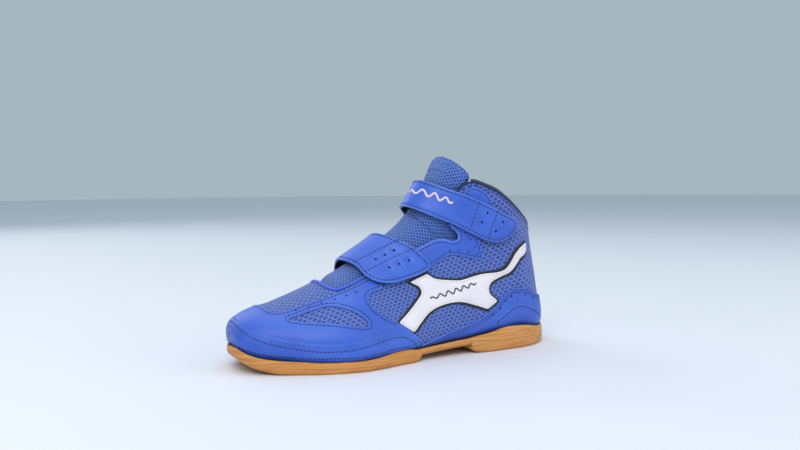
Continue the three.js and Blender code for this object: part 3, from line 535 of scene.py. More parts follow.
# A round or flattened cord laid along (k, q) at a height, for bindings, piping and embroidery.
def rolled(name, curve, height, radius, finish, nodes=(), body="upper", closed=True, flat=1.0):
    sides = 12
    k, q = curve[:, 0], curve[:, 1]
    c = onLast(k, q, valueAt(height, k, q)) / mm
    t = np.roll(c, -1, 0) - np.roll(c, 1, 0) if closed else np.gradient(c, axis=0)
    t /= np.linalg.norm(t, axis=1, keepdims=True) + 1e-12
    up = normalAt(k, q)
    side = np.cross(t, up)
    side /= np.linalg.norm(side, axis=1, keepdims=True) + 1e-12
    up = np.cross(side, t)
    a = 2 * pi * np.arange(sides) / sides
    size = np.ones(len(c))
    if not closed:                    # rounded ends
        run = np.arange(len(c))
        size = np.sqrt(np.clip(np.minimum(run + 0.35, len(c) - 0.65 - run) / 3, 0, 1))
    width = radius * size
    p = (c[:, None] + (np.cos(a)[None, :, None] * side[:, None] / flat + np.sin(a)[None, :, None]
                       * up[:, None]) * width[:, None, None])
    n = len(c)
    spans = n if closed else n - 1
    faces = [(i * sides + j, ((i + 1) % n) * sides + j, ((i + 1) % n) * sides + (j + 1) % sides,
              i * sides + (j + 1) % sides) for i in range(spans) for j in range(sides)]
    if not closed:
        faces.append(tuple(range(sides)))
        faces.append(tuple((n - 1) * sides + j for j in reversed(range(sides))))
    piece = newMesh(name, p.reshape(-1, 3) * mm, faces, finish, sharp=0)
    along = np.concatenate([[0], np.cumsum(np.linalg.norm(np.diff(c, axis=0), axis=1))])
    cloth = np.stack([np.repeat(along, sides), np.tile(a * radius, n), np.zeros(n * sides)], 1)
    write(piece, "cloth", cloth)
    return settle(piece, body, nodes)


# Finishes. Value wraps a socket, so that sums can be written as sums.
class Value:
    def __init__(self, finish, socket):
        self.finish, self.socket = finish, socket

    def maths(self, operation, *values):
        return self.finish.node("Math", {"operation": operation}, dict(enumerate(values)))

    def __add__(self, other):
        return self.maths("ADD", self, other)

    def __sub__(self, other):
        return self.maths("SUBTRACT", self, other)

    def __rsub__(self, other):
        return self.maths("SUBTRACT", other, self)

    def __mul__(self, other):
        return self.maths("MULTIPLY", self, other)

    def __truediv__(self, other):
        return self.maths("DIVIDE", self, other)

    def __lt__(self, other):
        return self.maths("LESS_THAN", self, other)

    def __abs__(self):
        return self.maths("ABSOLUTE", self)

    def larger(self, other):
        return self.maths("MAXIMUM", self, other)

    def wrap(self, low, high):
        return self.maths("WRAP", self, high, low)

    def step(self, low, high):        # smoothly from 0 at low to 1 at high
        return self.finish.node("MapRange", {"interpolation_type": "SMOOTHSTEP"}, {0: self, 1: low, 2: high})

    __radd__, __rmul__ = __add__, __mul__


class Finish:
    def __init__(self, name, fixed):
        self.material = bpy.data.materials.new(name)
        self.material.use_nodes = True
        tree = self.material.node_tree
        self.nodes, self.links = tree.nodes, tree.links
        self.shader = self.nodes["Principled BSDF"]
        for socket, value in fixed.items():
            self.shader.inputs[socket].default_value = value

    def feed(self, socket, value):
        if isinstance(value, Value):
            self.links.new(value.socket, socket)
        else:
            socket.default_value = value

    def node(self, kind, settings=None, values=None, output=0):
        made = self.nodes.new("ShaderNode" + kind)
        for key, value in (settings or {}).items():
            setattr(made, key, value)
        for key, value in (values or {}).items():
            self.feed(made.inputs[key], value)
        return Value(self, made.outputs[output])

    def mix(self, factor, a, b):      # of two colours
        return self.node("Mix", {"data_type": "RGBA"}, {0: factor, 6: a, 7: b}, output=2)

    def noise(self, scale, where, detail=2.0, roughness=0.5):
        return self.node("TexNoise", {}, {"Vector": where, "Scale": scale, "Detail": detail,
                                          "Roughness": roughness})

    def stretched(self, where, scale):
        return self.node("VectorMath", {"operation": "MULTIPLY"}, {0: where, 1: scale})

    def own(self):                    # the piece's own coordinates, in metres
        return self.node("TexCoord", output="Object")

    def attribute(self, name, output="Fac"):
        return self.node("Attribute", {"attribute_name": name}, output=output)

    def split(self, vector):
        return [self.node("SeparateXYZ", {}, {0: vector}, output=n) for n in range(3)]

    def colour(self, value):
        self.feed(self.shader.inputs["Base Color"], value)

    def rough(self, value):
        self.feed(self.shader.inputs["Roughness"], value)

    def relief(self, height, strength, depth):
        bump = self.node("Bump", {}, {"Height": height, "Strength": strength, "Distance": depth * mm})
        self.feed(self.shader.inputs["Normal"], bump)


def tint(red, green, blue):           # a screen colour, 0 to 255, as the shader wants it
    share = [c / 255 for c in (red, green, blue)]
    return (*[c / 12.92 if c < 0.0431 else ((c + 0.055) / 1.055) ** 2.4 for c in share], 1)


def leather(name, base, deep, pale, roughness=0.43, grain=0.35, shine=0.12):
    f = Finish(name, {"Coat Weight": shine, "Coat Roughness": 0.35, "Specular IOR Level": 0.45})
    where = f.own()
    cloudy = f.noise(38, where, 4).step(0.3, 0.7)
    pores = f.node("TexVoronoi", {"feature": "DISTANCE_TO_EDGE"}, {"Vector": where, "Scale": 1150})
    creases = f.noise(420, where, 4, 0.62)
    fine = f.noise(2600, where, 2)
    rim = f.attribute("rim")
    # Painted highlight: the pale colour is laid along each panel's rounded edge, where it would catch the
    # light, together with a lighter edge colour; noise breaks part of it into patches.
    edge = 1 - rim.step(0.15, 1.0)
    patchyRimHighlightAndEdgeTone = edge * f.noise(160, where, 3).step(0.35, 0.75)
    skin = f.mix(cloudy * 0.7, base, deep)
    skin = f.mix(creases.step(0.5, 0.72) * 0.16, skin, deep)
    f.colour(f.mix(edge * 0.3 + patchyRimHighlightAndEdgeTone * 0.25, skin, pale))
    f.rough(creases * 0.16 + fine * 0.06 + (roughness - 0.1) - edge * 0.05)
    f.relief(pores.step(0, 0.12) * 0.6 + creases * 0.9 + fine * 0.25, grain, 0.16)
    return f.material


# An open knit of six-sided cells: raised threads round each cell, a finer net and flecks of light inside.
def cellKnit(name, cell, stretch, wall, hollow, dark, fleck, relief=0.55, soft=0.8):
    f = Finish(name, {"Sheen Weight": 0.25, "Sheen Roughness": 0.5, "Specular IOR Level": 0.25})
    where = f.attribute("cloth", "Vector")
    sway = f.noise(0.22, where, 2)
    x, y, _ = f.split(where)
    u = (x + sway * 0.9) / cell
    v = (y + sway * 0.7) / (cell * stretch)
    tall = 3 ** 0.5
    ax, ay = u.wrap(-0.5, 0.5), v.wrap(-tall / 2, tall / 2)
    bx, by = (u - 0.5).wrap(-0.5, 0.5), (v - tall / 2).wrap(-tall / 2, tall / 2)
    first = (ax * ax + ay * ay) < (bx * bx + by * by)
    gx = abs(ax * first + bx * (1 - first))
    gy = abs(ay * first + by * (1 - first))
    out = gx.larger(gx * 0.5 + gy * (tall / 2))
    thread = out.step(0.35, 0.455)
    fine = f.node("TexVoronoi", {"feature": "F1"}, {"Vector": where, "Scale": 5.2 / cell ** 0.5})
    pore = 1 - fine.step(0.12, 0.42)
    strand = f.noise(3.0, f.stretched(where, (1.0, 3.4, 1.0)), 3).step(0.42, 0.66)
    lint = f.noise(1.9, where, 3, 0.7).step(0.58, 0.7)
    inside = f.mix(strand * 0.5, hollow, wall)
    inside = f.mix(pore * 0.85, inside, dark)
    inside = f.mix((1 - out.step(0.06, 0.22)) * 0.6, inside, dark)
    inside = f.mix(lint * (1 - thread) * 0.75, inside, fleck)
    ridge = f.mix(strand * 0.35, wall, fleck)
    f.colour(f.mix(thread, inside, ridge))
    f.rough(soft - thread * 0.12)
    f.relief(thread * 1.0 + strand * 0.35 - pore * 0.7, relief, 0.5)
    return f.material


def fabric(name, base, deep, pitch=0.9, ribs=0.5, strength=0.4):
    f = Finish(name, {"Sheen Weight": 0.3, "Sheen Roughness": 0.55, "Specular IOR Level": 0.2})
    where = f.own()
    x, y, z = f.split(where)
    warp = f.noise(1000 / pitch, f.stretched(where, (1, 1, 2.2)), 2)
    fuzz = f.noise(2600, where, 3, 0.7)
    rows = abs(((x + y * 0.35 + z * 0.8) / (pitch * mm)).wrap(-0.5, 0.5)) * 2
    f.colour(f.mix(warp.step(0.35, 0.7) * 0.6 + rows * 0.3, base, deep))
    f.rough(0.78 + fuzz * 0.15)
    f.relief(rows * ribs + warp * 0.6 + fuzz * 0.4, strength, 0.25)
    return f.material


def tape(name, base, deep, pitch=0.55):   # woven binding, ribbed across its length
    f = Finish(name, {"Sheen Weight": 0.2, "Specular IOR Level": 0.3})
    x, y, _ = f.split(f.attribute("cloth", "Vector"))
    rib = abs((x / pitch).wrap(-0.5, 0.5)) * 2
    weft = abs((y / pitch + x * 0.5).wrap(-0.5, 0.5)) * 2
    fuzz = f.noise(2400, f.own(), 2)
    f.colour(f.mix(rib * 0.5 + fuzz * 0.3, base, deep))
    f.rough(0.6 + fuzz * 0.2)
    f.relief(weft * 0.4 - rib * 0.8 + fuzz * 0.3, 0.45, 0.2)
    return f.material


def gumRubber(name, base, deep, pale):
    f = Finish(name, {"Specular IOR Level": 0.4, "Subsurface Weight": 0.05, "Subsurface Scale": 0.002})
    where = f.own()
    sway = f.noise(45, where, 2)
    _, _, z = f.split(where)
    layers = f.noise(1.0, f.stretched(where, (34, 34, 900)), 3, 0.6)
    wave = abs((z / (1.5 * mm) + sway * 4).wrap(-0.5, 0.5)) * 2
    speck = f.noise(900, where, 3)
    cloudy = f.noise(26, where, 3).step(0.3, 0.7)
    body = f.mix(cloudy * 0.6, base, pale)
    body = f.mix(layers.step(0.42, 0.62) * 0.55 + wave.step(0.62, 1.0) * 0.35, body, deep)
    f.colour(body)
    f.rough(0.52 + speck * 0.2)
    f.relief(layers * 0.8 - wave * 0.45 + speck * 0.2, 0.5, 0.35)
    return f.material


def pile(name, base, pale, scale=1700, depth=0.6):    # hook and loop tape
    f = Finish(name, {"Sheen Weight": 0.5, "Sheen Roughness": 0.4, "Specular IOR Level": 0.2})
    where = f.own()
    tufts = f.node("TexVoronoi", {"feature": "F1"}, {"Vector": where, "Scale": scale})
    fuzz = f.noise(scale * 1.8, where, 3)
    f.colour(f.mix(tufts * 0.5 + fuzz * 0.3, base, pale))
    f.rough(0.85 - tufts * 0.1)
    f.relief(fuzz - tufts, 0.7, depth)
    return f.material


def yarn(name, base, deep):
    f = Finish(name, {"Sheen Weight": 0.3, "Specular IOR Level": 0.4})
    where = f.own()
    twist = f.noise(3200, where, 2)
    f.colour(f.mix(twist.step(0.4, 0.7), base, deep))
    f.rough(0.5 + twist * 0.2)
    f.relief(twist, 0.4, 0.08)
    return f.material


finishes = {
    # Each leather's third colour is its painted rim highlight, partly also a lighter edge colour.
    "blue": leather("blueLeather", tint(58, 101, 207), tint(46, 84, 188), tint(112, 152, 238)),
    "strap": leather("strapLeather", tint(60, 103, 208), tint(49, 88, 192), tint(116, 156, 238), 0.4, 0.24),
    "white": leather("whiteLeather", tint(240, 234, 238), tint(228, 220, 226), tint(250, 248, 250), 0.38,
                     0.22),
    "edging": leather("blackEdging", tint(24, 25, 34), tint(14, 14, 20), tint(60, 62, 76), 0.5, 0.3, 0.04),
    "mesh": cellKnit("hexagonMesh", 5.0, 0.66, tint(86, 118, 202), tint(48, 74, 166), tint(20, 30, 94),
                     tint(214, 226, 246)),
    "tongue": cellKnit("tongueKnit", 3.0, 0.8, tint(106, 156, 244), tint(38, 70, 182), tint(6, 12, 70),
                       tint(176, 224, 254), 0.9),
    "lining": fabric("brushedLining", tint(52, 60, 92), tint(30, 34, 58), 0.8),
    "board": fabric("strobelBoard", tint(214, 208, 192), tint(190, 182, 164), 1.4, 0.2),
    "foam": fabric("cellFoam", tint(176, 182, 190), tint(150, 156, 168), 0.6, 0.1),
    "binding": tape("darkBinding", tint(28, 36, 84), tint(14, 18, 48)),
    "blueBinding": tape("blueBinding", tint(84, 116, 226), tint(48, 76, 188)),
    "gum": gumRubber("gumRubber", tint(210, 142, 74), tint(176, 106, 48), tint(228, 170, 104)),
    "hook": pile("hookTape", tint(18, 18, 24), tint(64, 64, 76), 1500),
    "loop": pile("loopTape", tint(22, 24, 34), tint(70, 74, 92), 900),
    "thread": yarn("navyThread", tint(22, 32, 96), tint(12, 18, 60)),
    "paleThread": yarn("paleThread", tint(244, 222, 228), tint(214, 188, 200)),
    "blackThread": yarn("blackThread", tint(30, 30, 36), tint(12, 12, 16)),
}
print("finishes ready")

# Sole. Rows along it: x, top of the wall, bottom, half width outside and inside.
sole = {
    "forefoot": [[-143, 19.5, 13.5, 5, 5], [-140.5, 18.4, 11.2, 14, 14], [-136, 15.5, 7.2, 21, 22],
                 [-128, 12.5, 3.6, 29, 32], [-115, 10.5, .6, 37, 41.5], [-100, 9.5, 0, 44, 47.5],
                 [-85, 8.5, 0, 51, 50.5], [-57, 8, 0, 57, 51], [-39, 9, 0, 55, 48], [-25, 10.5, 0, 51, 45],
                 [-12, 10.8, 0, 48, 42.5], [-6, 10, 0, 46.5, 41.5], [-0.5, 9, 2.6, 45, 40.5]],
    "arch": [[-4, 9.2, 4.2, 44.2, 39.8], [0, 9.4, 4.6, 43.6, 39.6], [25, 11, 6, 40.1, 37.1],
             [49.5, 12.8, 7.6, 38.6, 36.1], [53, 13.2, 7.8, 38.6, 36.1]],
    "heel": [[50, 13.2, 4.4, 39, 36.5], [55, 13.8, 1.2, 39, 36.5], [70, 16, 0, 39.5, 37.5],
             [86, 19, 0, 38, 37], [106, 18.5, 0, 36, 35.5], [123, 15.5, 0, 28.5, 28.5],
             [134, 14.5, 1.2, 19, 19], [140, 15, 3.2, 10.5, 10.5], [143, 16, 5, 4.5, 4.5]],
    "wallInset": 1.2, "bulge": 0.55, "chamfer": 1.6, "lip": 2.3, "boardBelow": 1.9, "ridge": 0.1,
    "wallSteps": 20, "bottomSteps": 46, "stationStep": 1.3, "treadPitch": 9.0, "treadDepth": 1.1,
    "treadRim": 6.0,
}


def soleBlock(name, rows, hasTread):
    rows = np.array(rows, float)
    t = np.linspace(0, len(rows) - 1, int((rows[-1, 0] - rows[0, 0]) / sole["stationStep"]) + 12)
    rows = through(rows, t)
    underK = np.arange(0.5, 11.6, 0.05)
    under = sample(grid, underK, 1.0)
    points = []
    for x, top, bottom, outer, innerHalf in rows:
        high = max(top - bottom, 1.5)
        chamfer = min(sole["chamfer"], high / 3)
        s = np.linspace(0, 1, sole["wallSteps"])
        z = bottom + chamfer + (high - chamfer) * s
        lean = (sole["wallInset"] * s**2 - sole["bulge"] * np.sin(pi * s)
                - sole["ridge"] * np.sin(z * 3.6 + x * 0.05))
        floor = np.interp(x, under[:, 0], under[:, 2]) - sole["boardBelow"]
        floor = min(max(floor, bottom + 1.2), top - 0.6)
        sides = []
        for half in (outer, innerHalf):
            wall = np.stack([half - lean, z], 1)
            edge = half - sole["wallInset"]
            lip = np.array([[edge - 0.4, top + 0.15], [edge - 1.2, top + 0.2],
                            [edge - sole["lip"], top - 0.1],
                            [edge - sole["lip"] - 0.8, max(floor, min(top - 1.2, floor + 2))],
                            [edge - sole["lip"] - 2.4, floor]])
            lip[:, 0] = np.maximum(lip[:, 0], 0.4)
            wall[:, 0] = np.maximum(wall[:, 0], 0.5)
            sides.append(np.vstack([wall, lip]))
        width0, width1 = -(outer - chamfer), innerHalf - chamfer
        y = np.linspace(width0, width1, sole["bottomSteps"])
        under0 = np.full(len(y), bottom)
        if hasTread:
            rim = np.minimum(y - width0, width1 - y)
            zigzag = np.abs((y / 11) % 2 - 1) * 5
            wave = np.abs(((x + zigzag) / sole["treadPitch"]) % 1 - 0.5) * 2
            deep = np.clip((wave - 0.72) / 0.12, 0, 1) * np.clip((rim - sole["treadRim"]) / 1.5, 0, 1)
            under0 = under0 + sole["treadDepth"] * deep * np.clip(high / 6, 0, 1)
        left = sides[0] * [-1, 1]
        right = sides[1]
        ring = np.vstack([left[::-1], np.stack([y, under0], 1), right])
        points.append(np.column_stack([np.full(len(ring), x), ring]))
    points = np.array(points) * mm
    return newMesh(name, points.reshape(-1, 3), ringFaces(*points.shape[:2]), finishes["gum"], sharp=50)


for part in ("forefoot", "arch", "heel"):
    settle(soleBlock(f"gum_sole_{part}", sole[part], part != "arch"), "upper", [f"outsole_{part}"])
soleTop = np.vstack([sole["forefoot"], sole["heel"]])[:, :2]
print("sole ready")


def aboveSole(rise, k0, k1, side):    # the line on the last this far above the wall's top
    k = np.arange(k0, k1, 0.04)
    q = np.linspace(0.35, 0.98, 200)
    z = sample(grid, k[:, None], side * q[None, :])
    want = np.interp(z[..., 0], soleTop[:, 0], soleTop[:, 1]) + rise
    at = np.argmax(z[..., 2] < want, axis=1)
    found = np.stack([k, side * q[at]], 1)
    smoothed(found[:, 1], 12)
    return found


# Edges that several pattern pieces share, on the medial side, and each layer's height over the last.
collarEdge = [(12, .2), (12.45, .22), (12.75, .25), (13.05, .3), (13.25, .38), (13.45, .47), (13.52, .59),
              (13.56, .72), (13.62, .88), (13.65, 1)]
boardToe = [(.95, 1), (1.15, .95), (1.5, .89), (2, .86)]
boardHeel = [(10.5, .86), (10.9, .9), (11.15, .95), (11.2, 1)]
layers = {"mesh": (-1.4, 0), "stiffener": (-3.0, -1.7), "lining": (-4.3, -3.3), "board": (-1.4, 0.2),
          "insole": (-4.3, -1.7), "sock": (-6.8, -4.6), "overlay": (0.3, 1.2), "toe": (0.3, 1.6),
          "rand": (0.2, 0.95), "underlay": (0.3, 0.75), "white": (1.0, 1.85), "heelPatch": (1.2, 1.75)}


def roundToe(half):                   # a loop that goes round the toe tip
    return drawCurve(mirrored(half), closed=False)[:-1]


def pair(name, points, layer, finish, slotName, nodes, **more):
    made = []
    for side, shape in (("lateral", lateral(points)), ("medial", points)):
        own = dict(more)
        if "dots" in own:
            own["dots"] = [(k, -abs(q) if side == "lateral" else abs(q)) for k, q in own["dots"]]
        loop = drawCurve(shape)
        made.append(loop)
        panel(f"{name}_{side}", loop, *layers[layer], finish, slotName, [f"{n}_{side}" for n in nodes],
              **own)
    return made


def footbed(spread, back):            # narrower by spread in q, and shorter by back in k
    q = .86 - spread
    half = [(1.01 + back, .99), (1.2 + back, .955 - spread / 2), (1.55 + back, .895 - spread),
            (2.05 + back, q), (10.45 - back, q), (10.84 - back, .905 - spread),
            (11.09 - back, .955 - spread / 2), (11.14 - back, .99)]
    return drawCurve(overBack(half), corner=80)


panel("lasting_board", footbed(0, 0), *layers["board"], finishes["board"], "board", ["strobel_board"],
      pitch=6)
insole = panel("foam_insole", footbed(0.01, 0.05), *layers["insole"], finishes["foam"], "foam",
               ["cushion_insole"], pitch=6)
panel("inner_sock", footbed(0.04, 0.3), *layers["sock"], finishes["lining"], "lining", ["sock_liner"],
      pitch=4)

# Mesh, stiffeners and lining of the upper.
turned = .93                          # q to which the upper's pieces are turned under
seamK = 6.02                          # k of the seam between vamp and quarters, under the toe overlay
vampHalf = [*boardToe[:2], (1.6, turned), (seamK, turned), (seamK, .2), (5.6, .2), (5.4, .15), (5.3, .08)]
vampInside = [*boardToe, (seamK, .86), (seamK, .252), (5.35, .252), (5.15, .15), (5.05, .08)]
panel("vamp_knit", roundToe(vampHalf), *layers["mesh"], finishes["mesh"], "mesh", ["vamp_mesh"], edge=0.3,
      lay="girth", crown=0)
panel("vamp_inside", roundToe(vampInside), *layers["lining"], finishes["lining"], "lining", ["vamp_lining"],
      pitch=5, crown=0)
panel("toe_stiffener", roundToe([*boardToe, (2.6, .86), (2.6, .4), (2.6, .1)]), *layers["stiffener"],
      finishes["foam"], "foam", ["toe_puff"], pitch=6, crown=0)
notch = [(9.1, .213), (9.6, .225), (9.9, .25), (10.1, .28), (10.3, .29), (10.52, .283), (10.63, .26),
         (10.6, .222)]
heelTurn = [(10.6, turned), (10.95, .965), (11.1, .998)]
quarterKnit = [(seamK, .2), (seamK, turned), *heelTurn, (13.65, .998), *collarEdge[:-1][::-1], (11, .205),
               *notch[::-1], (8.6, .2)]
pair("quarter_knit", quarterKnit, "mesh", finishes["mesh"], "mesh", ["quarter_mesh"], edge=0.3, lay=True,
     crown=0)
padFoot = [(11.75, .252), (12, .45), (12.42, .66), (12.5, .8), (12.5, 1)]
quarterInside = [(seamK, .252), (seamK, .86), *boardHeel[:-1], (11.2, .998), (12.62, .998),
                 *[(k + .12, q) for k, q in padFoot[:-1][::-1]], (10.8, .3), (10.3, .33), (9.6, .29)]
pair("quarter_inside", quarterInside, "lining", finishes["lining"], "lining", ["quarter_lining"], pitch=5,
     crown=0)
counter = [*overBack([(9.8, .64), (9.8, .86), *boardHeel[:-1], (11.26, .99)]),
           *overBack([(12.35, .98), (12.2, .74), (11.5, .62)])[::-1]]
panel("heel_stiffener", drawCurve(counter), *layers["stiffener"], finishes["foam"], "foam",
      ["heel_counter"], pitch=6, crown=0)
print("upper layers ready")

# Blue overlays. Thread runs inside their edges, where the leather is pressed in a little.
hidden = 0.84                         # q from which the upper goes under the sole


def shown(k, q):                      # not turned under the sole
    return abs((q + 1) % 2 - 1) < hidden or k > 11.4


randTop = [(6.98, .7), (6.96, .61), (6.78, .53), (6.45, .505), (5.25, .5), (4.2, .49), (3, .45), (2.4, .41),
           (1.8, .32), (1.5, .22), (1.42, .1)]
randSeam = [(6.93, .76), (6.88, .69), (6.7, .615), (6.35, .578), (5.9, .566), (5.25, .561), (4.65, .559),
            (3.95, .555), (2.9, .532), (2.2, .494), (1.58, .415), (1.22, .27), (1.12, .1)]
rand = roundToe([*boardToe[:2], (1.6, turned), (6.93, turned), *randTop])
panel("toe_rand_leather", rand, *layers["rand"], finishes["blue"], "blue_overlay", ["toe_rand"], crown=0.1,
      pressed=[drawCurve(mirrored(randSeam), closed=False, corner=100)])
stitches("toe_rand_thread", [drawCurve(mirrored(randSeam), closed=False, corner=100)], layers["rand"][1],
         finishes["thread"], closed=False)
stitches("gum_line_thread", [aboveSole(3.3, 0.95, 6.7, side) for side in (-1, 1)], layers["rand"][1] + 0.12,
         finishes["thread"], closed=False)

toeFront = [(1.2, .1), (1.31, .26), (1.66, .384)]
toeLower = [(2.4, .464), (3, .5), (4.2, .53), (5.25, .536), (6.2, .545), (6.6, .562)]
toeRear = [(6.74, .56), (6.66, .52), (6.5, .48), (6.3, .43), (6.22, .37), (6.28, .32), (6.45, .3), (7, .305)]
toeWindow = [(7, .212), (5.3, .212), (4.2, .214), (3.55, .23), (3.2, .215), (3.05, .17), (3, .08)]
sideWindow = [(3.5, .31), (4.2, .28), (4.8, .272), (5.15, .29), (5.5, .34), (5.7, .39), (5.8, .44),
              (5.75, .465), (5.5, .455), (4.8, .4), (4.25, .37), (3.7, .34)]
toeDots = [(3.95, .246), (4.4, .246), (4.85, .243), (5.3, .25), (5.72, .258), (6.1, .258)]
toeLoop = drawCurve(mirrored([*toeFront, *toeLower, *toeRear, *toeWindow]))
windows = [drawCurve(sideWindow), drawCurve(lateral(sideWindow))]
panel("toe_overlay_leather", toeLoop, *layers["toe"], finishes["blue"], "blue_overlay", ["toe_overlay"],
      windows=windows, grooves=[2.3], crown=0.4, edge=0.7,
      dots=[(k, s * q) for s in (-1, 1) for k, q in toeDots])
stitches("toe_overlay_thread", [seamOf(toeLoop, 2.3), *[seamOf(w, -2.3) for w in windows]],
         layers["toe"][1] + 0.1, finishes["thread"],
         keep=lambda k, q: abs(q) < np.interp(k, [1.6, 2.4, 3.0, 4.2, 5.25, 6.6],
                                              [.05, .38, .44, .48, .49, .52]))

saddle = [(7.15, .212), (7.15, .31), (8.2, .325), (9.2, .32), (9.65, .322), (10, .36), (10.55, .43),
          (10.95, .38), (11.15, .33), (11.2, .27), (10.95, .222), (10.6, .222), (10.63, .26), (10.52, .283),
          (10.3, .29), (10.1, .28), (9.9, .25), (9.6, .225), (9.1, .213)]
saddleDots = [(9.75, .306), (10.05, .331), (10.33, .362), (10.55, .392), (10.72, .36), (10.82, .325),
              (10.88, .288)]
loops = pair("saddle_leather", saddle, "overlay", finishes["blue"], "blue_overlay", ["saddle_overlay"],
             grooves=[2.0], dots=saddleDots, crown=0.3)
sew("saddle", loops, [2.0], 1.27)

collarTab = [(12.05, .232), (12.4, .245), (12.65, .268), (12.88, .305), (13, .35), (13.02, .395),
             (12.9, .415), (12.6, .41), (12.2, .34)]
loops = pair("collar_patch", collarTab, "overlay", finishes["blue"], "blue_overlay", ["collar_tab"],
             grooves=[1.8])
sew("collar_patch", loops, [1.8], 1.12)

heelTop = [(6.99, .74), (7.06, .69), (7.5, .69), (8.6, .692), (9.1, .685), (9.65, .67), (10.15, .64),
           (10.5, .625), (10.85, .628), (11.2, .68), (11.45, .78), (11.75, .9)]
heelLower = [(7.0, turned), *heelTurn[:-1], (11.12, .99)]
heelDots = [(9.5, .696), (9.85, .682), (10.2, .662), (10.5, .65), (10.8, .655), (11.02, .69), (11.2, .745)]
heelLoop = drawCurve([*overBack(heelLower), *overBack(heelTop)[::-1]])
panel("heel_leather", heelLoop, *layers["overlay"], finishes["blue"], "blue_overlay", ["heel_overlay"],
      grooves=[1.6, 3.6], dots=[*heelDots, *[(k, 2 - q) for k, q in heelDots]], crown=0.3)
sew("heel", [heelLoop], [1.6, 3.6], 1.2, keep=shown)
heelPatch = [(9.35, .8), (9.42, .73), (9.62, .724), (10.05, .712), (10.4, .7), (10.7, .715), (10.95, .765),
             (11.12, .85), (11.2, .93)]
patchLoop = drawCurve([*overBack([(9.4, .9), (10.5, .9), *heelTurn[1:-1], (11.14, .99)]),
                       *overBack(heelPatch)[::-1]])
panel("heel_patch", patchLoop, *layers["heelPatch"], finishes["blue"], "blue_overlay", grooves=[1.6],
      crown=0.25)
sew("heel_patch", [patchLoop], [1.6], layers["heelPatch"][1] + 0.05, keep=shown)
stitches("arch_line_thread", [aboveSole(3.4, 7.3, 9.3, side) for side in (-1, 1)], 1.22, finishes["thread"],
         closed=False)
print("blue overlays ready")

# White side overlay on its dark edging.
underlay = [(6.62, .512), (7.12, .478), (7.65, .44), (7.88, .42), (7.94, .39), (7.75, .334), (8.54, .334),
            (8.67, .378), (8.95, .409), (9.33, .443), (9.83, .46), (10.48, .488), (11.42, .547),
            (12.24, .63), (12.82, .73), (12.4, .724), (11.82, .648), (10.88, .56), (10.34, .552),
            (10.08, .567), (9.94, .592), (10.04, .647), (9.42, .668), (9.14, .622), (8.77, .567),
            (8.3, .547), (7.84, .552), (7.4, .583), (7.02, .614)]
sideOverlay = [(6.7, .515), (7.15, .49), (7.7, .45), (7.95, .425), (8.02, .39), (7.85, .345), (8.5, .345),
               (8.6, .385), (8.9, .42), (9.3, .455), (9.8, .472), (10.45, .5), (11.4, .56), (12.2, .64),
               (12.7, .72), (12.4, .71), (11.85, .635), (10.9, .548), (10.3, .54), (10, .56), (9.86, .59),
               (9.95, .64), (9.45, .655), (9.2, .61), (8.8, .555), (8.3, .535), (7.8, .54), (7.35, .57),
               (6.98, .6)]
pair("side_edging", underlay, "underlay", finishes["edging"], "edging", ["side_underlay"], edge=0.25,
     crown=0)
loops = pair("side_leather", sideOverlay, "white", finishes["white"], "white_overlay", ["side_overlay"],
             crown=0.3, grooves=[1.5])
sew("side", loops, [1.5], layers["white"][1] + 0.05, "paleThread")
print("white overlay ready")

# Padding. A closed form is blown up a little by the cloth solver, and each point's travel is capped.
def inflate(piece, caps, pinned, pressure=4.0, frames=20):
    mesh = piece.data
    rest = np.array([v.co for v in mesh.vertices])
    group = piece.vertex_groups.new(name="sewn")
    group.add([int(i) for i in np.nonzero(pinned)[0]], 1.0, "REPLACE")
    cloth = piece.modifiers.new("padding", "CLOTH")
    cloth.settings.quality = 6
    cloth.settings.mass = 0.25
    cloth.settings.tension_stiffness = 12
    cloth.settings.compression_stiffness = 12
    cloth.settings.bending_stiffness = 0.4
    cloth.settings.use_pressure = True
    cloth.settings.uniform_pressure_force = pressure
    cloth.settings.vertex_group_mass = "sewn"
    cloth.settings.effector_weights.gravity = 0
    cloth.collision_settings.use_self_collision = False
    cloth.point_cache.frame_start, cloth.point_cache.frame_end = 1, frames
    scene = bpy.context.scene
    for n in range(1, frames + 1):
        scene.frame_set(n)
    done = piece.evaluated_get(bpy.context.evaluated_depsgraph_get()).data
    moved = np.array([v.co for v in done.vertices]) - rest
    far = np.linalg.norm(moved, axis=1)
    print(piece.name, "swelled by up to", round(float(far.max()) / mm, 2), "mm")
    scale = np.minimum(1, caps * mm / np.maximum(far, 1e-9))
    piece.modifiers.remove(cloth)
    mesh.vertices.foreach_set("co", (rest + moved * scale[:, None]).astype(np.float32).ravel())
    mesh.update()
    scene.frame_set(1)


# A pad made of closed rings of points, with the first and the last ring capped.
def ringPad(name, points, finish, cloth=None):
    n, m = points.shape[:2]
    faces = ringFaces(n, m)
    p = points.reshape(-1, 3)
    middle = points.mean(1)
    quads = np.array(faces[: (n - 1) * m])
    a, b, c = (p[quads[:, i]] for i in range(3))
    between = np.repeat((middle[:-1] + middle[1:]) / 2, m, 0)
    facing = (np.cross(b - a, c - a) * (p[quads].mean(1) - between)).sum()
    if facing < 0:
        faces = [f[::-1] for f in faces]
    piece = newMesh(name, p, faces, finish, sharp=0)
    if cloth is not None:
        write(piece, "cloth", cloth.reshape(-1, 3))
    return piece


collar = {"start": .27, "top": 0.1, "rings": 170, "steps": 12, "outer": -1.55, "thin": 2.6, "pad": 3.4,
          "swell": 1.2, "piping": 0.8}


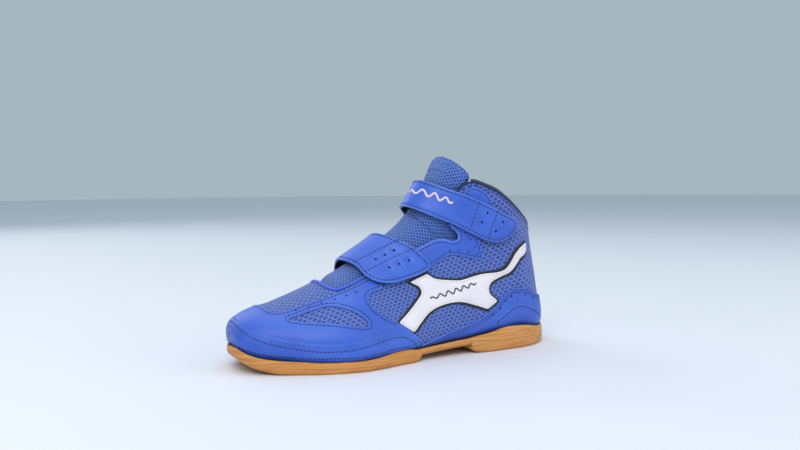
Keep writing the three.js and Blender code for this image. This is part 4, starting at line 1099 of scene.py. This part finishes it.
def collarPadding():
    q = np.linspace(collar["start"], 2 - collar["start"], collar["rings"])
    folded = np.where(q > 1, 2 - q, q)
    foot = np.interp(folded, [p[1] for p in padFoot], [p[0] for p in padFoot])
    edge = np.interp(folded, [p[1] for p in collarEdge], [p[0] for p in collarEdge])
    smoothed(foot, 10)
    top = smoothed(edge, 10) + collar["top"]
    up = np.linspace(0, 1, collar["steps"])
    share, depth, tight = [], [], []
    for s in up:                                   # outer face, against the knit
        share.append(s)
        depth.append(0.0)
        tight.append(1)
    for a in np.linspace(0, pi, 7)[1:-1]:          # over the top
        share.append(1 + 0.11 * sin(a))
        depth.append((1 - cos(a)) / 2)
        tight.append(0)
    for s in up[::-1]:                             # inner face
        share.append(s)
        depth.append(1.0)
        tight.append(int(s == 0))
    share, depth, tight = np.array(share), np.array(depth), np.array(tight)
    k = foot[:, None] + (top - foot)[:, None] * np.minimum(share, 1)[None, :]
    over = np.maximum(share - 1, 0)[None, :] * 1.2
    thick = (collar["thin"] + collar["pad"] * ramp(k, 10.5, 12.75)
             * ramp(share[None, :] * np.ones_like(k), 0, 0.5))
    ends = np.minimum(np.arange(len(q)), np.arange(len(q))[::-1])
    thick = thick * (0.35 + 0.65 * ramp(ends, 0, 5))[:, None]
    height = collar["outer"] - depth[None, :] * thick
    points = onLast(k + over, np.repeat(q[:, None], len(share), 1), height)
    pad = ringPad("collar_padding", points, finishes["lining"])
    n, m = points.shape[:2]
    ring = np.tile(np.arange(m), n)
    end = np.repeat(ends, m)
    pinned = (tight[ring] == 1) | (end < 1)
    inflate(pad, np.where(pinned, 0.0, collar["swell"]) * np.minimum(end / 4, 1), pinned)
    return settle(pad, "upper", ["collar_foam_lateral", "collar_foam_medial"])


collarPadding()
collarLine = drawCurve([(11.75, .196), *[(k + .03, q) for k, q in overBack(collarEdge)], (11.75, 1.804)],
                       closed=False, corner=100)
rolled("collar_piping", collarLine, -0.35, collar["piping"], finishes["binding"],
       ["collar_binding"], closed=False)
stitches("collar_thread", [drawCurve([(k - .12, q + .006) for k, q in overBack(collarEdge)], closed=False)],
         0.12, finishes["thread"], closed=False)
throatHalf = [(8.4, .192), (7.6, .19), (6.8, .19), (5.9, .188), (5.6, .176), (5.45, .13), (5.4, .07)]
rolled("throat_piping", drawCurve(mirrored(throatHalf), closed=False, corner=100), -0.1, 1.15,
       finishes["blueBinding"], ["throat_binding"], closed=False, flat=0.8)
for side, sign in (("lateral", -1), ("medial", 1)):
    lip = drawCurve([(8.7, sign * .206), *[(k, sign * q) for k, q in notch], (10.75, sign * .212)],
                    closed=False)
    rolled(f"notch_lip_{side}", lip, lambda k, q: 0.6 - 0.9 * ramp(k, 10.25, 10.45), 0.7, finishes["blue"],
           closed=False, flat=0.75)
backTape = drawCurve([(11.7, .966), (12.6, .972), (13.6, .974), (13.6, 1.026), (12.6, 1.028), (11.7, 1.034)])
panel("back_tape", backTape, 0.15, 0.75, finishes["blue"], "blue_overlay", crown=0.2, grooves=[1.3], pitch=2)
sew("back_tape", [backTape], [1.3], 0.78)
print("collar ready")

tongue = {"foot": 5.1, "tip": 13.32, "crown": 1.0, "wingDrop": 1.2, "thick": 4.4, "swell": .8, "rows": 190,
          "quilts": (9.75, 12.4), "piping": 0.8}
tongueEdge = [(5.1, .1), (5.25, .15), (5.6, .2), (7, .25), (9, .275), (9.7, .3), (10.6, .29), (11.3, .258),
              (11.9, .245), (12.4, .244), (12.8, .248), (13.02, .254), (13.16, .25), (13.26, .2),
              (13.31, .12), (13.32, .04)]


def tongueTop(k, q):
    under = layers["lining"][0] - 3 * ramp(k, 10.5, 12.75) - tongue["wingDrop"]
    near, far = .12 + .1 * ramp(k, 11.6, 12.8), .27 + .08 * ramp(k, 12.85, 13.1)
    share = ramp(k, 5.25, 6) * (1 - ramp(np.abs(q), near, far))
    return under + (-tongue["crown"] - under) * share


def tonguePad():
    k = np.linspace(tongue["foot"], tongue["tip"], tongue["rows"])
    half = smoothed(np.interp(k, [p[0] for p in tongueEdge], [p[1] for p in tongueEdge]), 8)
    count = 64
    a = 2 * pi * np.arange(count) / count
    across = np.sign(np.cos(a)) * np.abs(np.cos(a)) ** 0.45      # a flat pad with rounded edges
    lift = np.sign(np.sin(a)) * np.abs(np.sin(a)) ** 0.6
    kk = np.repeat(k[:, None], count, 1)
    q = half[:, None] * across[None, :]
    ends = np.minimum(k - k[0], k[-1] - k)
    thin = (0.3 + 0.7 * ramp(ends, 0, .22))[:, None]
    for line in tongue["quilts"]:
        thin = thin * (1 - 0.34 * np.exp(-((kk - line - 0.35 * np.abs(q)) / 0.035) ** 2) * (lift > 0))
    thick = tongue["thick"]
    height = tongueTop(kk, q) - thick / 2 + lift[None, :] * thick / 2 * thin
    points = onLast(kk, q, height)
    centre = onLast(k, 0 * k, 0.0) / mm
    run = np.concatenate([[0], np.cumsum(np.linalg.norm(np.diff(centre, axis=0), axis=1))])
    width = np.linalg.norm(tangents(kk, q)[1], axis=2) * q
    cloth = np.stack([np.repeat(run[:, None], count, 1), width, 0 * width], -1)
    pad = ringPad("tongue_padding", points, finishes["tongue"], cloth)
    n = len(k)
    quilt = np.zeros((n, count), bool)
    for line in tongue["quilts"]:
        quilt |= np.abs(kk - line - 0.35 * np.abs(q)) < 0.05
    quilt |= (np.abs(across) > 0.985)[None, :]
    quilt[:2] = quilt[-2:] = True
    under = np.repeat((lift < 0)[None, :], n, 0)
    caps = np.where(under, 0.15, tongue["swell"]) * np.minimum(ends / 0.3, 1)[:, None]
    inflate(pad, np.where(quilt, 0, caps).ravel(), quilt.ravel())
    return settle(pad, "tongue", ["tongue_face", "tongue_foam"])


tonguePad()
tongueLoop = drawCurve(mirrored(tongueEdge))


def backOf(drop):                     # this far under the tongue's face
    return lambda k, q: tongueTop(k, q) - drop


panel("tongue_inside", tongueLoop, backOf(5.4), backOf(4.5), finishes["lining"], "lining", ["tongue_lining"],
      body="tongue", pitch=4, crown=0, edge=0.3)
tongueRim = tongueLoop * [1, .985]
rolled("tongue_piping", tongueRim, backOf(tongue["thick"] / 2), tongue["piping"], finishes["tongue"],
       body="tongue", flat=0.6)
quiltLines = [np.array([(line + .35 * abs(q), q) for q in np.linspace(-.2, .2, 60)])
              for line in tongue["quilts"][:1]]
stitches("tongue_thread", quiltLines, backOf(0.35), finishes["thread"], body="tongue", closed=False)
print("tongue ready")

# Straps. Each is two stretches of leather with a black backing, joined on top of the instep. The two fold
# lines of each stretch are worked out, but nothing here bends it.
strap = {"bottom": 3.6, "top": 5.6, "pivot": 4.6, "slope": 2.1, "seam": 2.1, "fold": 0.04, "dot": 1.0,
         "crown": 0.2, "edge": 0.55, "loopTop": 2.2, "hookBottom": 2.5, "hookTop": 3.3}
straps = {
    "lower_strap": {
        "front": [(8.15, -.332), (7.4, -.315), (7.05, -.29), (6.83, -.255), (6.7, -.2), (6.72, -.12)],
        "rear": [(8.5, -.332), (8.68, -.322), (8.76, -.3), (8.76, -.27), (8.7, -.19), (8.5, -.12)],
        "bandFront": [(6.62, -.04), (6.56, .04), (6.5, .14)],
        "bandRear": [(8.28, -.04), (8.14, .04), (8.06, .14)],
        "joint": .04, "bend": -.12, "hinge": .22, "hingeK": (6.46, 8.02),
        "anchor": [(6.46, .32), (7.95, .32)],
        "dots": [(7.40, -.150), (7.75, -.154), (8.10, -.158), (7.55, -.228), (7.90, -.236), (8.25, -.244)],
        "lines": [[(6.74, -.100), (7.6, -.108), (8.56, -.124)], [(6.72, -.186), (7.7, -.188), (8.70, -.2)]],
        "patch": [(7.35, -.295), (7.1, -.27), (6.98, -.23), (8.5, -.22), (8.58, -.27), (8.45, -.305)],
        "patchFrom": 1.5,
    },
    "upper_strap": {
        "front": [(11.95, -.515), (11.5, -.44), (11.15, -.35), (10.75, -.24)],
        "rear": [(12.5, -.578), (12.8, -.602), (12.94, -.6), (12.94, -.57), (12.84, -.52), (12.55, -.38),
                 (12.16, -.24)],
        "bandFront": [(10.2, -.12), (9.97, -.04), (9.9, .04), (10.1, .12)],
        "bandRear": [(11.74, -.12), (11.54, -.04), (11.5, .04), (11.66, .12)],
        "joint": .04, "bend": -.24, "hinge": .24, "hingeK": (10.6, 12.1),
        "anchor": [(11.1, .36), (12.5, .36)],
        "dots": [(11.72, -.35), (12.22, -.378), (11.87, -.44), (12.42, -.486)],
        "lines": [[(10.98, -.29), (11.6, -.302), (12.4, -.325)],
                  [(11.36, -.398), (11.9, -.412), (12.72, -.452)]],
        "patch": [(11.85, -.485), (11.55, -.42), (11.4, -.36), (12.35, -.37), (12.65, -.5), (12.6, -.555)],
        "patchFrom": 0.3,
    },
}


def strapHeight(shape, drop):         # the sewn end slopes down to the overlay
    top = strap["top"] - drop
    return lambda k, q: top - strap["slope"] * ramp(q, shape["hinge"], shape["anchor"][0][1])


def heldLine(points, where):          # drawn smooth, but with its butt joint kept straight
    hard = drawCurve(points, soften=0)
    soft = drawCurve(points, soften=3)
    kept = np.abs(hard[:, 1] - where) < 0.008
    soft[kept] = hard[kept]
    return soft


def makeStrap(name, shape):
    joint = shape["joint"]
    front = [p for p in shape["bandFront"] if p[1] < joint]
    rear = [p for p in shape["bandRear"] if p[1] < joint]
    atJoint = [next(p for p in shape[side] if p[1] == joint) for side in ("bandFront", "bandRear")]
    frontRest = [p for p in shape["bandFront"] if p[1] > joint]
    rearRest = [p for p in shape["bandRear"] if p[1] > joint]
    hingeFront, hingeRear = ((k, shape["hinge"]) for k in shape["hingeK"])
    endLoop = heldLine([*shape["front"], *front, *atJoint, *rear[::-1], *shape["rear"][::-1]], joint)
    rootLoop = heldLine([atJoint[0], *frontRest, hingeFront, shape["anchor"][0], shape["anchor"][1],
                         hingeRear, *rearRest[::-1], atJoint[1]], joint)
    middle = sum(shape["hingeK"]) / 2
    bendK = (shape["front"][-1][0] + shape["rear"][-1][0]) / 2
    fold = strap["fold"]

    def foldAt(k, q, before, after):      # the two bodies, and the two lines between which the piece would bend; nothing here bends it
        return before, after, onLast(k, q + fold, strap["pivot"]), onLast(k, q - fold, strap["pivot"])

    def butt(k, q):
        return np.abs(q - joint) < 0.0035

    def clear(k, q):                      # no stitch runs over the joint
        return abs(q - joint) > 0.012

    ends = {"root": foldAt(middle, shape["hinge"], "upper", name),
            "end": foldAt(bendK, shape["bend"], name, f"{name}_tab")}
    nodes = {"root": [f"{name}_anchor"], "end": [f"{name}_band", f"{name}_tab"]}
    for part, loop in (("root", rootLoop), ("end", endLoop)):
        piece = panel(f"{name}_{part}_leather", loop, strapHeight(shape, strap["top"] - strap["bottom"]),
                      strapHeight(shape, 0), finishes["strap"], "strap", nodes[part], body=None,
                      dots=shape["dots"] if part == "end" else (), grooves=[strap["seam"]],
                      edge=strap["edge"], crown=strap["crown"], plain=butt, dotSize=strap["dot"],
                      under=finishes["edging"])
        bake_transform(piece)
        piece = stitches(f"{name}_{part}_thread", [seamOf(loop, strap["seam"])], strapHeight(shape, -0.08),
                         finishes["thread"], body=None, keep=clear)
        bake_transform(piece)
    across = [drawCurve(points, closed=False) for points in shape["lines"]]
    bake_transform(stitches(f"{name}_cross_thread", across, strap["top"] + 0.22, finishes["thread"], body=None,
                      closed=False))
    patch = drawCurve(shape["patch"])
    panel(f"{name}_loop_tape", patch, shape["patchFrom"], strap["loopTop"], finishes["loop"], "loop",
          [f"{name}_loop_patch"], edge=0.3, crown=0)
    panel(f"{name}_hook_tape", patch, strap["hookBottom"], strap["hookTop"], finishes["hook"], "hook",
          [f"{name}_hook_patch"], body=f"{name}_tab", edge=0.3, crown=0)
    return ends


strapEnds = {name: makeStrap(name, shape) for name, shape in straps.items()}
print("straps ready")


# Plain stitched ornament: a slow wave from one place to another.
def waveCurve(start, end, swing, turns, steps=150):
    s = np.linspace(0, 1, steps)
    line = np.array(start) + (np.array(end) - np.array(start)) * s[:, None]
    k, q = line[:, 0], line[:, 1]
    t = np.gradient(sample(grid, k, q), axis=0)
    side = np.cross(normalAt(k, q), t / np.linalg.norm(t, axis=1, keepdims=True))
    return line + stepBy(k, q, side * (swing * np.sin(2 * pi * turns * s) * np.sin(pi * s) ** 0.4)[:, None])


ornament = {"from": (10.72, .01), "to": (11.5, -.185), "swing": 2.4, "turns": 4, "radius": 0.62}
wave = waveCurve(ornament["from"], ornament["to"], ornament["swing"], ornament["turns"])
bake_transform(rolled("strap_ornament", wave, strap["top"] + 0.2, ornament["radius"], finishes["paleThread"],
                body=None, closed=False, flat=0.7))
sideMark = {"from": (8.05, .474), "to": (9.7, .506), "swing": 1.7, "turns": 6, "radius": 0.4}
for side, sign in (("lateral", -1), ("medial", 1)):
    ends = [(k, sign * q) for k, q in (sideMark["from"], sideMark["to"])]
    rolled(f"side_ornament_{side}", waveCurve(*ends, sideMark["swing"], sideMark["turns"]),
           layers["white"][1] + 0.3, sideMark["radius"], finishes["blackThread"],
           closed=False, flat=0.7)
print("ornament ready")

# Stage, light and camera.
view = {"place": (-.314, -.632, .146), "turn": 26.7, "down": 3.22, "roll": -0.47, "lens": 38.25}
camera = bpy.data.objects.new("camera", bpy.data.cameras.new("camera"))
bpy.context.scene.collection.objects.link(camera)
camera.data.lens, camera.data.sensor_width = view["lens"], 36
turn, down = radians(view["turn"]), radians(view["down"])
ahead = Vector((sin(turn) * cos(down), cos(turn) * cos(down), -sin(down)))
facing = ahead.to_track_quat("-Z", "Y").to_matrix().to_4x4()
camera.matrix_world = (Matrix.Translation(view["place"]) @ facing
                       @ Matrix.Rotation(radians(view["roll"]), 4, "Z"))
bpy.context.scene.camera = camera

floorFinish = Finish("paleFloor", {"Roughness": 0.55, "Specular IOR Level": 0.3})
soft = floorFinish.noise(1.5, floorFinish.own(), 2)
floorFinish.colour(floorFinish.mix(soft * 0.3, tint(232, 233, 240), tint(222, 224, 234)))
steps = 96
rim = [(6 * cos(2 * pi * n / steps), 6 * sin(2 * pi * n / steps), 0) for n in range(steps)]
newMesh("floor", rim, [tuple(range(steps))], floorFinish.material, sharp=0)

world = bpy.data.worlds.new("studio")
world.use_nodes = True
world.node_tree.nodes["Background"].inputs[0].default_value = tint(206, 226, 238)
world.node_tree.nodes["Background"].inputs[1].default_value = 0.62
bpy.context.scene.world = world
bpy.context.scene.view_settings.view_transform = "Standard"
lamps = {
    "key": {"place": (-.9, -1.3, 1.5), "size": 1.3, "power": 22},
    "fill": {"place": (1.5, -1.1, .9), "size": 1.4, "power": 7.5},
    "top": {"place": (.1, .3, 1.8), "size": 1.5, "power": 9},
    "back": {"place": (-.5, 1.7, 1.1), "size": 1.2, "power": 7},
}
for name, lamp in lamps.items():
    light = bpy.data.objects.new(name, bpy.data.lights.new(name, "AREA"))
    light.data.energy, light.data.size = lamp["power"], lamp["size"]
    light.location = lamp["place"]
    light.rotation_mode = "QUATERNION"
    light.rotation_quaternion = (Vector((0, 0, .06)) - light.location).to_track_quat("-Z", "Y")
    bpy.context.scene.collection.objects.link(light)
print("stage ready")
